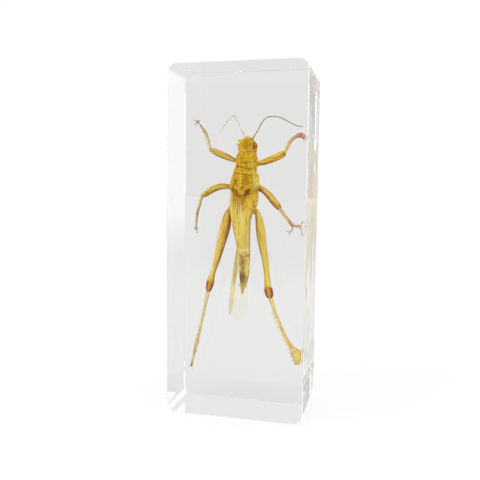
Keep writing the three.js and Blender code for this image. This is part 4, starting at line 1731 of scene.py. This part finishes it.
@dataclass
class JumpingLeg(Leg):
    """A hind leg: a keeled thigh with herringbone ridges, and a shin with spines."""

    knee_from: float = 0.835
    knee_colours: tuple[Colour, Colour] = ((0.30, 0.05, 0.002), (0.72, 0.26, 0.02))
    spines: int = 9
    spine_length: float = 1.55
    spine_radius: float = 0.16
    spine_span: tuple[float, float] = (0.3, 0.96)
    leans: tuple[Point, ...] = ((-0.5, -1.0, 0.0), (0.45, -1.0, 0.0))
    chevrons: int = 15

    def thigh_shell(self) -> Shell:
        """Keels along the thigh, chevrons between them and a bulging knee.

        Returns:
            A closed shell.
        """

        def relief(t: np.ndarray, angle: np.ndarray) -> tuple[np.ndarray, np.ndarray]:
            """Raise keels and chevrons, and swell the knee.

            Args:
                t: Places along the run.
                angle: Angles round it.

            Returns:
                The factor of growth and the tint.
            """
            over = np.cos(angle)
            face = np.clip(np.abs(np.sin(angle)) * 1.2, 0, 1)
            keels = bump(np.abs(over), 1, 0.035) + bump(np.abs(over), 0.45, 0.07) * face
            slant = np.sin(2 * math.pi * (self.chevrons * t - 1.6 * np.abs(over)))
            reach = np.clip((t - 0.06) * 12, 0, 1) * np.clip((0.78 - t) * 12, 0, 1)
            herring = np.clip(slant, 0, 1) * face * reach
            lobes = bump(t, 0.945, 0.02) * bump(np.abs(over), 0.55, 0.3)
            groove = bump(t, 0.86, 0.008)
            rise = 0.06 * keels + 0.03 * herring + 0.07 * lobes - 0.05 * groove
            return 1 + rise, np.clip(0.35 * herring + 0.3 * keels * (t < 0.85) + 0.8 * groove, 0, 1)

        return loft(Run(self.thigh), 320, 80, ends=(0.7, 0.6), relief=relief)

    def thigh_finish(self) -> Limb:
        """Golden outside, browner on the side that faces the body, with a rusty knee."""
        inward = -1.0 if self.side is Side.LEFT else 0.7
        return self.thigh_skin(inward, mottle=0.5, strands=5.0)

    def spine_shell(self) -> Shell:
        """Two rows of spines on the lower two thirds of the shin, leaning to the foot.

        Returns:
            A closed shell.
        """
        t = np.linspace(*self.spine_span, self.spines)
        fine = np.linspace(0, 1, 200)
        centre, size, _, _ = Run(self.shin).read(fine)
        along = unit(np.gradient(centre, fine, axis=0))
        pick = np.round(t * (len(fine) - 1)).astype(int)
        rows = []
        for lean in self.leans:
            aside = unit(np.asarray(lean, float))
            feet = centre[pick] + aside * (0.6 * size[pick, :1])
            tips = feet + unit(along[pick] * 1.1 + aside) * self.spine_length
            rows.append(horns(feet, tips, self.spine_radius, sag=aside * 0.08))
        return joined(rows)

    def build(self, shop: Workshop) -> None:
        """Make the pieces of the leg and its spines.

        Args:
            shop: The workshop that makes them.
        """
        super().build(shop)
        horn = Horn(f"{self.name}_spine_horn", (0.90, 0.70, 0.22), (0.42, 0.22, 0.05), 0.6)
        shop.piece(f"{self.name}_spines", self.spine_shell(), horn.material())


# Front, middle and hind legs, left before right, each spread in its own way.
LEGS: tuple[Leg, ...] = (
    Leg(
        name="front_left",
        side=Side.LEFT,
        hip=((-0.2, 3.4, 80.2, 1.0, 1.1), (-1.4, 2.9, 80.5, 0.9, 0.95), (-2.8, 2.1, 80.8, 0.65, 0.65)),
        thigh=(
            (-2.4, 2.3, 80.7, 0.62, 0.62), (-4.9, 1.2, 81.8, 0.9, 0.8),
            (-7.0, 0.6, 82.7, 0.98, 0.8), (-9.0, 0.1, 83.6, 0.9, 0.75),
            (-10.2, -0.2, 84.15, 0.66, 0.6), (-10.8, -0.3, 84.3, 0.5, 0.45),
        ),
        shin=(
            (-10.3, -0.2, 83.9, 0.42, 0.42), (-10.75, 0.0, 85.2, 0.4, 0.4),
            (-11.2, 0.2, 86.8, 0.52, 0.46), (-11.9, 0.5, 88.9, 0.44, 0.42),
            (-13.2, 1.0, 91.0, 0.5, 0.42),
        ),
        foot=(
            (-13.0, 1.0, 90.7, 0.36, 0.34), (-14.0, 1.2, 91.9, 0.34, 0.32),
            (-14.8, 1.4, 92.8, 0.3, 0.3), (-15.5, 1.5, 93.4, 0.42, 0.35),
        ),
        claw_feet=((-15.3, 1.5, 93.3), (-15.3, 1.5, 93.3), (-15.4, 1.5, 93.3)),
        claw_tips=((-13.9, 1.5, 93.7), (-15.9, 1.6, 91.8), (-16.5, 1.4, 93.9)),
        claw_radius=0.25,
        thigh_colours=((0.86, 0.64, 0.13), (0.40, 0.25, 0.015)),
        knee_colours=((0.48, 0.26, 0.03), (0.74, 0.48, 0.12)),
        foot_colours=((0.70, 0.52, 0.32), (0.36, 0.20, 0.12)),
        shin_colours=((0.90, 0.74, 0.42), (0.62, 0.44, 0.22)),
    ),
    Leg(
        name="front_right",
        side=Side.RIGHT,
        stripe_side=0.5,
        hip=((2.9, 3.4, 79.6, 1.0, 1.1), (3.9, 2.9, 79.7, 0.9, 0.95), (5.0, 2.1, 79.9, 0.7, 0.7)),
        thigh=(
            (4.6, 2.3, 79.8, 0.64, 0.62), (7.2, 1.2, 80.4, 0.88, 0.8), (9.8, 0.6, 81.3, 1.02, 0.85),
            (12.0, 0.0, 82.2, 1.0, 0.8), (13.2, -0.2, 82.8, 0.85, 0.7),
            (13.9, -0.3, 83.1, 0.55, 0.5),
        ),
        shin=(
            (13.4, -0.2, 82.7, 0.45, 0.45), (14.2, 0.0, 84.4, 0.46, 0.42),
            (15.1, 0.2, 86.3, 0.52, 0.46), (16.0, 0.3, 87.4, 0.52, 0.46),
            (17.3, 0.5, 88.4, 0.5, 0.45),
        ),
        foot=(
            (16.9, 0.4, 88.1, 0.46, 0.42), (17.9, 1.1, 88.6, 0.72, 0.6),
            (18.8, 2.3, 88.45, 0.82, 0.7), (19.3, 3.5, 87.9, 0.5, 0.45),
        ),
        claw_feet=((19.2, 3.3, 88.0), (19.2, 3.3, 88.0)),
        claw_tips=((19.9, 4.0, 86.9), (18.9, 4.6, 86.9)),
        foot_colours=((0.78, 0.42, 0.28), (0.48, 0.13, 0.08)),
        shin_colours=((0.88, 0.70, 0.24), (0.76, 0.46, 0.20)),
    ),
    Leg(
        name="middle_left",
        side=Side.LEFT,
        hip=((-2.0, 3.6, 72.0, 1.1, 1.1), (-3.2, 3.0, 72.3, 1.0, 1.0), (-4.7, 2.3, 72.5, 0.75, 0.75)),
        thigh=(
            (-4.2, 2.5, 72.4, 0.72, 0.7), (-7.0, 1.4, 72.5, 0.92, 0.8),
            (-9.2, 0.7, 71.8, 0.98, 0.8), (-11.7, 0.0, 70.3, 0.92, 0.75),
            (-12.9, -0.2, 69.5, 0.7, 0.65), (-13.4, -0.2, 69.1, 0.5, 0.45),
        ),
        shin=(
            (-12.9, -0.2, 69.8, 0.42, 0.42), (-13.6, 0.0, 68.0, 0.44, 0.42),
            (-14.1, 0.2, 66.4, 0.48, 0.42), (-14.7, 0.6, 64.3, 0.44, 0.4),
            (-15.1, 0.9, 62.6, 0.42, 0.4),
        ),
        foot=(
            (-15.0, 0.9, 63.0, 0.36, 0.34), (-15.3, 1.2, 61.2, 0.38, 0.34),
            (-15.4, 1.5, 59.6, 0.32, 0.3), (-15.5, 1.8, 58.2, 0.42, 0.36),
        ),
        claw_feet=((-15.4, 1.7, 58.5), (-15.4, 1.7, 58.5), (-15.4, 1.7, 58.5)),
        claw_tips=((-16.2, 1.8, 59.3), (-14.7, 1.8, 58.7), (-15.0, 1.8, 57.1)),
        claw_radius=0.3,
        thigh_colours=((0.88, 0.64, 0.12), (0.42, 0.22, 0.015)),
        knee_colours=((0.50, 0.22, 0.02), (0.78, 0.46, 0.10)),
        foot_colours=((0.78, 0.56, 0.38), (0.36, 0.24, 0.20)),
    ),
    Leg(
        name="middle_right",
        side=Side.RIGHT,
        stripe_side=0.9,
        hip=((3.4, 3.6, 72.4, 1.1, 1.1), (4.6, 2.9, 72.2, 1.0, 1.0), (6.0, 2.3, 72.0, 0.95, 0.9)),
        thigh=(
            (5.6, 2.4, 72.2, 0.95, 0.85), (7.0, 1.6, 71.3, 0.92, 0.8), (8.6, 1.0, 70.0, 1.02, 0.85),
            (10.2, 0.4, 68.2, 1.08, 0.85), (11.6, 0.0, 66.6, 0.98, 0.75),
            (12.5, -0.2, 65.5, 0.6, 0.6),
        ),
        shin=(
            (12.2, -0.2, 65.9, 0.48, 0.45), (13.4, 0.0, 64.3, 0.46, 0.42),
            (14.8, 0.3, 62.6, 0.42, 0.4), (16.0, 0.7, 61.0, 0.55, 0.45),
            (16.6, 0.9, 60.3, 0.6, 0.5),
        ),
        foot=(
            (16.3, 0.9, 60.5, 0.5, 0.44), (17.2, 1.2, 60.4, 0.42, 0.38),
            (18.1, 1.4, 60.35, 0.44, 0.38), (19.0, 1.5, 60.3, 0.5, 0.4),
        ),
        claw_feet=(
            (18.9, 1.5, 60.4), (18.9, 1.5, 60.1), (16.6, 1.0, 60.3), (16.6, 1.0, 60.3),
            (15.6, 1.6, 58.6),
        ),
        claw_tips=(
            (19.7, 1.8, 62.2), (19.6, 1.8, 57.1), (15.0, 1.8, 57.2), (16.2, 1.8, 58.5),
            (14.3, 1.8, 58.7),
        ),
        claw_radius=0.27,
        thigh_colours=((0.90, 0.62, 0.12), (0.33, 0.095, 0.012)),
        knee_colours=((0.50, 0.18, 0.02), (0.80, 0.40, 0.06)),
        knee_from=0.82,
        foot_colours=((0.80, 0.56, 0.36), (0.50, 0.31, 0.20)),
    ),
    JumpingLeg(
        name="hind_left",
        side=Side.LEFT,
        hip=((-1.8, 3.3, 67.2, 1.5, 1.5), (-3.0, 2.7, 66.2, 1.35, 1.3), (-4.3, 2.0, 65.2, 0.95, 1.0)),
        thigh=(
            (-4.1, 2.0, 65.9, 0.5, 0.6), (-4.75, 1.6, 63.6, 1.15, 1.0),
            (-5.4, 1.1, 60.0, 1.62, 1.2), (-6.0, 0.9, 57.4, 1.6, 1.15),
            (-6.7, 0.7, 54.6, 1.45, 1.05), (-8.0, 0.4, 49.2, 1.08, 0.9),
            (-9.5, 0.0, 44.0, 0.84, 0.78), (-9.85, 0.0, 42.8, 1.0, 0.88),
            (-10.1, 0.0, 41.7, 1.24, 1.0), (-10.45, 0.0, 40.2, 1.14, 0.95),
            (-10.75, 0.0, 38.7, 0.8, 0.8), (-10.85, 0.0, 38.0, 0.55, 0.6),
        ),
        shin=(
            (-10.7, 0.0, 39.2, 0.6, 0.55), (-11.2, 0.1, 37.0, 0.56, 0.5),
            (-12.4, 0.5, 31.5, 0.46, 0.44), (-14.1, 1.1, 24.2, 0.44, 0.42),
            (-15.1, 1.5, 20.2, 0.6, 0.5), (-15.5, 1.6, 18.6, 0.5, 0.42),
        ),
        foot=(
            (-15.4, 1.6, 18.9, 0.42, 0.38), (-15.95, 1.7, 16.8, 0.46, 0.4),
            (-16.4, 1.8, 15.0, 0.36, 0.34), (-17.0, 2.0, 12.3, 0.42, 0.36),
        ),
        claw_feet=((-16.9, 1.9, 12.7), (-16.9, 1.9, 12.7), (-15.3, 1.5, 19.0), (-15.5, 1.5, 18.8)),
        claw_tips=((-17.8, 2.1, 11.8), (-16.5, 2.1, 11.4), (-14.6, 0.9, 17.6), (-16.3, 1.2, 17.5)),
        claw_radius=0.2,
        thigh_colours=((0.88, 0.64, 0.11), (0.52, 0.25, 0.015)),
        shin_colours=((0.93, 0.78, 0.34), (0.90, 0.68, 0.32)),
        foot_colours=((0.82, 0.62, 0.28), (0.16, 0.10, 0.07)),
    ),
    JumpingLeg(
        name="hind_right",
        side=Side.RIGHT,
        hip=((2.6, 3.2, 66.8, 1.5, 1.5), (3.2, 2.7, 65.6, 1.3, 1.3), (4.0, 2.1, 64.1, 1.0, 1.0)),
        thigh=(
            (4.4, 2.0, 65.6, 0.6, 0.7), (5.3, 1.6, 63.2, 1.0, 1.0), (5.9, 1.2, 60.0, 1.32, 1.15),
            (6.35, 1.0, 57.2, 1.42, 1.12), (6.8, 0.8, 54.4, 1.28, 1.05),
            (7.9, 0.4, 49.2, 1.02, 0.9), (8.6, 0.1, 43.8, 0.88, 0.8), (8.85, 0.0, 41.6, 1.02, 0.9),
            (9.2, 0.0, 39.4, 1.32, 1.0), (9.65, 0.0, 37.6, 1.0, 0.85), (9.8, 0.0, 36.9, 0.6, 0.6),
        ),
        shin=(
            (9.5, 0.0, 38.4, 0.6, 0.55), (10.2, 0.1, 36.0, 0.56, 0.5),
            (11.2, 0.3, 33.2, 0.48, 0.44), (12.7, 0.5, 29.4, 0.46, 0.42),
            (14.8, 0.8, 24.8, 0.48, 0.44), (16.9, 1.0, 21.2, 0.66, 0.52),
        ),
        foot=(
            (16.4, 1.0, 22.0, 0.6, 0.5), (17.35, 1.2, 20.9, 0.95, 0.6),
            (18.05, 1.4, 19.85, 1.75, 0.75), (18.5, 1.6, 18.3, 1.5, 0.7),
            (18.65, 1.7, 17.0, 1.15, 0.6), (18.75, 1.8, 15.8, 0.75, 0.45),
        ),
        claw_feet=(
            (18.4, 1.7, 16.7), (19.0, 1.7, 16.7), (18.7, 1.3, 19.9), (16.9, 1.0, 20.7),
            (17.2, 1.1, 19.4), (17.6, 1.3, 18.1),
        ),
        claw_tips=(
            (17.9, 1.9, 15.3), (19.5, 1.9, 15.4), (20.2, 1.6, 20.8), (15.9, 0.9, 19.4),
            (16.4, 0.9, 17.9), (17.0, 1.0, 16.6),
        ),
        claw_radius=0.22,
        thigh_colours=((0.90, 0.67, 0.11), (0.58, 0.36, 0.03)),
        shin_colours=((0.93, 0.76, 0.22), (0.90, 0.60, 0.16)),
        foot_colours=((0.96, 0.76, 0.24), (0.74, 0.46, 0.10)),
        leans=((-1.0, -0.1, 0.0), (-0.7, -0.8, 0.0)),
        neck=0.1,
    ),
)


# ------------------------------------------------------------------------ the block


@dataclass
class Block:
    """The cast block: a broad rounded rectangle with a small moulded edge all round."""

    low: np.ndarray
    high: np.ndarray
    corner_radius: float = 3.2
    front_edge: float = 0.5
    rear_edge: float = 0.12
    corner_steps: int = 26
    edge_steps: int = 16

    def rings(self) -> np.ndarray:
        """Rings of the rounded outline, drawn in over the front and the rear edge.

        A ring's corner point is the corner's centre plus (corner radius - inset) times
        (cos, sin). Over an edge the inset is radius * (1 - sin) and the depth is
        radius * (1 - cos) of the same angle.

        Returns:
            Rings by points of each ring by x, y, z.
        """
        width, depth, height = self.high - self.low
        turn = np.linspace(0, math.pi / 2, self.edge_steps + 1)
        sunk, drawn = 1 - np.cos(turn), 1 - np.sin(turn)
        inset = np.concatenate([self.front_edge * drawn, self.rear_edge * drawn[::-1]])
        front_y, rear_y = self.front_edge * sunk - depth / 2, depth / 2 - self.rear_edge * sunk[::-1]
        y = np.concatenate([front_y, rear_y])
        quarter = np.linspace(0, math.pi / 2, self.corner_steps + 1)
        angle = np.concatenate([quarter + k * math.pi / 2 for k in range(4)])
        corners = np.array([[1, 1], [-1, 1], [-1, -1], [1, -1]], float)
        sign = np.repeat(corners, len(quarter), axis=0)
        reach = np.array([width, height]) / 2 - self.corner_radius
        radius = (self.corner_radius - inset)[:, None, None]
        flat = sign * reach + radius * np.stack([np.cos(angle), np.sin(angle)], axis=1)
        into = np.broadcast_to(y[:, None], flat.shape[:2])
        rings = np.stack([flat[..., 0], into, flat[..., 1]], axis=-1)
        return rings + (self.low + self.high) / 2

    def build(self, shop: Workshop, halves: Sequence[str]) -> None:
        """Make the clear block in place of the model's two halves.

        Args:
            shop: The workshop that makes the piece.
            halves: Names of the two halves that it stands for.
        """
        rings = self.rings()
        rows, columns = rings.shape[:2]
        count = rows * columns
        faces = grid_faces(rows, columns, closed=True)[:, ::-1].tolist()
        faces.append(list(range(columns)))
        faces.append(list(range(count - columns, count))[::-1])
        mesh = bpy.data.meshes.new("resin_block")
        mesh.from_pydata((rings.reshape(-1, 3) * MM).tolist(), [], faces)
        mesh.update()
        mesh.materials.append(Resin().material())
        piece = bpy.data.objects.new("resin_block", mesh)
        bpy.context.scene.collection.objects.link(piece)
        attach(piece, shop.body)
        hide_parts(*halves)
        LOG.info("resin_block: %d vertices, %d faces", count, len(faces))


# ------------------------------------------------------------------------ the studio


@dataclass(frozen=True)
class Sun:
    """A far, soft light: the way towards it, its strength and its spread in degrees."""

    name: str
    towards: Point
    strength: float
    spread: float


@dataclass
class Studio:
    """A pale floor, a pale room, soft lamps and the camera.

    Attributes:
        floor_size: Width of the floor, in metres.
        floor_gap: How far it lies under the block, in metres.
        floor_colours: Its own colour, plain and in front.
        floor_glow: Strength of its own light.
        floor_tones: Shares of that light in front, round the block and far to the right.
        floor_dims: Y where the darker front starts and is whole, in millimetres.
        floor_apex: X and Y of the point that the front spreads from, which is the
            camera's mirror image in the block's front face.
        floor_leans: Leans to the left, seen from that point, where the front starts, is
            whole, ends being whole and ends.
        floor_brightens: X where the brighter right starts and is whole.
        camera_place: Place of the camera, in metres.
        room_light: Brightness of the room, times the three shares below.
        across_room: Share by direction from left, 0, to right, 1.
        into_room: Share by direction from front, 0, to rear, 1.
        up_room: Share by direction from below, 0, to above, 1.
        bounces: How often light may pass or meet the resin.
    """

    floor_size: float = 6.0
    floor_gap: float = 0.00012
    floor_colours: tuple[Colour, Colour] = ((0.1, 0.1, 0.099), (0.04, 0.04, 0.04))
    floor_glow: float = 1.03
    floor_tones: tuple[float, float, float] = (0.3, 0.832, 1.0)
    floor_dims: tuple[float, float] = (-190.0, -420.0)
    floor_apex: tuple[float, float] = (43.9, 157.6)
    floor_leans: tuple[float, float, float, float] = (0.03, 0.12, 0.40, 0.55)
    floor_brightens: tuple[float, float] = (40.0, 420.0)
    camera_place: Point = (0.04391, -0.18562, 0.07318)
    yaw: float = 13.77
    pitch: float = 5.433
    roll: float = 0.613
    lens: float = 43.72
    sensor_width: float = 36.0
    nearest: float = 0.005
    bounces: int = 24
    matt_bounces: int = 4
    glossy_bounces: int = 8
    room_light: float = 1.26
    across_room: Stops = ((0.0, 0.84), (0.5, 0.84), (0.57, 0.85), (0.64, 1.0), (1.0, 0.95))
    into_room: Stops = ((0.0, 0.12), (0.04, 0.14), (0.1, 0.8), (0.5, 0.95), (1.0, 0.97))
    up_room: Stops = ((0.0, 1.0), (0.5, 1.0), (0.7, 1.0), (1.0, 0.85))
    suns: tuple[Sun, ...] = (
        Sun("ceiling_glow", (-0.2, -0.5, 1.0), 0.6, 60.0),
        Sun("left_glow", (-0.9, -0.65, 0.34), 2.95, 40.0),
        Sun("right_glow", (0.9, -0.65, 0.3), 1.7, 40.0),
    )

    def floor(self) -> None:
        """A wide matt floor just under the block.

        It is darker in front, in the part that the block's front face mirrors, and
        brighter far to the right.
        """
        half = self.floor_size / 2
        corners = np.array([[-half, -half], [half, -half], [half, half], [-half, half]])
        points = np.column_stack([corners, np.full(4, -self.floor_gap)])
        mesh = bpy.data.meshes.new("floor")
        mesh.from_pydata(points.tolist(), [], [[0, 1, 2, 3]])
        book = NodeBook("pale_floor")
        x, y, _ = book.split(book.millimetres())
        right = x.between(*self.floor_brightens)
        apex_x, apex_y = self.floor_apex
        lean = (apex_x - x) / (apex_y - y)
        starts, whole, wanes, ends = self.floor_leans
        ahead = y.between(*self.floor_dims) * lean.between(starts, whole) * lean.between(ends, wanes)
        front, middle, far = ((tone, tone, tone) for tone in self.floor_tones)
        finish = {
            "Base Color": book.mix(ahead, *self.floor_colours),
            "Roughness": 0.9,
            "Specular IOR Level": 0.0,
            "Emission Color": book.mix(ahead, book.mix(right, middle, far), front),
            "Emission Strength": self.floor_glow,
        }
        mesh.materials.append(book.finish(finish))
        floor = bpy.data.objects.new("floor", mesh)
        bpy.context.scene.collection.objects.link(floor)
        floor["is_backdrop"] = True

    def room(self) -> None:
        """A pale room: light behind the block and to its sides, dimmer above and in front."""
        book = NodeBook("pale_room", of_room=True)
        bpy.context.scene.world = book.owner
        way = book.node("ShaderNodeTexCoord").outputs["Generated"]
        strength = self.room_light
        for part, stops in zip(book.split(way), (self.across_room, self.into_room, self.up_room)):
            strength = self._share(part, stops) * strength
        glow = book.node("ShaderNodeBackground", {"Color": WHITE, "Strength": strength})
        book.node("ShaderNodeOutputWorld", {"Surface": glow.outputs[0]})

    @staticmethod
    def _share(part: Wire, stops: Stops) -> Wire:
        """Brightness by one part of the direction.

        Args:
            part: The part of the direction, from -1 to 1.
            stops: Values of that part, from 0 for -1 to 1 for 1, and the brightness there.

        Returns:
            The brightness.
        """
        halves = {0: part, 1: 0.5, 2: 0.5}
        shifted = part.book.wire("ShaderNodeMath", halves, operation="MULTIPLY_ADD")
        return part.book.wire("ShaderNodeFloatCurve", {"Value": shifted}, stops=stops)

    def light(self) -> None:
        """The soft, far lights."""
        for sun in self.suns:
            data = bpy.data.lights.new(sun.name, "SUN")
            data.energy = sun.strength
            data.angle = math.radians(sun.spread)
            stand = bpy.data.objects.new(sun.name, data)
            bpy.context.scene.collection.objects.link(stand)
            stand.matrix_world = self._pose((0.0, 0.0, 1.0), unit(np.array(sun.towards)), UP)

    @staticmethod
    def _pose(place: Point, back: np.ndarray, up: np.ndarray) -> Matrix:
        """Work out a matrix for a lamp or the camera.

        Args:
            place: Where it stands.
            back: The direction of its Z axis.
            up: The direction that its Y axis leans to.

        Returns:
            The matrix.
        """
        side = unit(np.cross(up, back))
        top = np.cross(back, side)
        table = np.eye(4)
        table[:3, 0], table[:3, 1], table[:3, 2], table[:3, 3] = side, top, back, place
        return Matrix(table.tolist())

    def camera(self) -> None:
        """The camera, level but for a slight roll, looking a little down and to the left."""
        yaw, pitch, roll = (math.radians(a) for a in (self.yaw, self.pitch, self.roll))
        level = math.cos(pitch)
        ahead = np.array([-math.sin(yaw) * level, math.cos(yaw) * level, -math.sin(pitch)])
        right = np.array([math.cos(yaw), math.sin(yaw), 0.0])
        up = math.cos(roll) * np.cross(right, ahead) - math.sin(roll) * right
        data = bpy.data.cameras.new("camera")
        data.lens = self.lens
        data.sensor_width = self.sensor_width
        data.clip_start = self.nearest
        camera = bpy.data.objects.new("camera", data)
        bpy.context.scene.collection.objects.link(camera)
        camera.matrix_world = self._pose(self.camera_place, -ahead, up)
        bpy.context.scene.camera = camera

    def build(self) -> None:
        """Set up the studio."""
        self.floor()
        self.room()
        self.light()
        self.camera()
        scene = bpy.context.scene
        scene.view_settings.view_transform = "Standard"
        scene.cycles.max_bounces = self.bounces
        scene.cycles.transmission_bounces = self.bounces
        scene.cycles.transparent_max_bounces = self.bounces
        scene.cycles.diffuse_bounces = self.matt_bounces
        scene.cycles.glossy_bounces = self.glossy_bounces
        scene.cycles.caustics_refractive = True
        scene.cycles.caustics_reflective = True


def plain_box() -> dict[str, list[float]]:
    """The shown object's box as plain lists of numbers."""
    low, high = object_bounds()
    return {"low": [float(v) for v in low], "high": [float(v) for v in high]}


def main() -> None:
    """Build the insect, the block and the studio, and note the sizes."""
    logging.basicConfig(level=logging.INFO, format="%(name)s: %(message)s")
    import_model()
    sizes = {"cad": plain_box()}
    low, high = (np.array(sizes["cad"][side]) / MM for side in ("low", "high"))
    insect = Workshop(node="grasshopper", slot="grasshopper")
    Head().build(insect)
    Thorax().build(insect)
    Abdomen().build(insect)
    Wings().build(insect)
    for leg in LEGS:
        leg.build(insect)
    Block(low, high).build(Workshop(node="resin_front", slot="resin"), ("resin_front", "resin_back"))
    Studio().build()
    sizes["visual"] = plain_box()


if __name__ == "__main__":
    main()
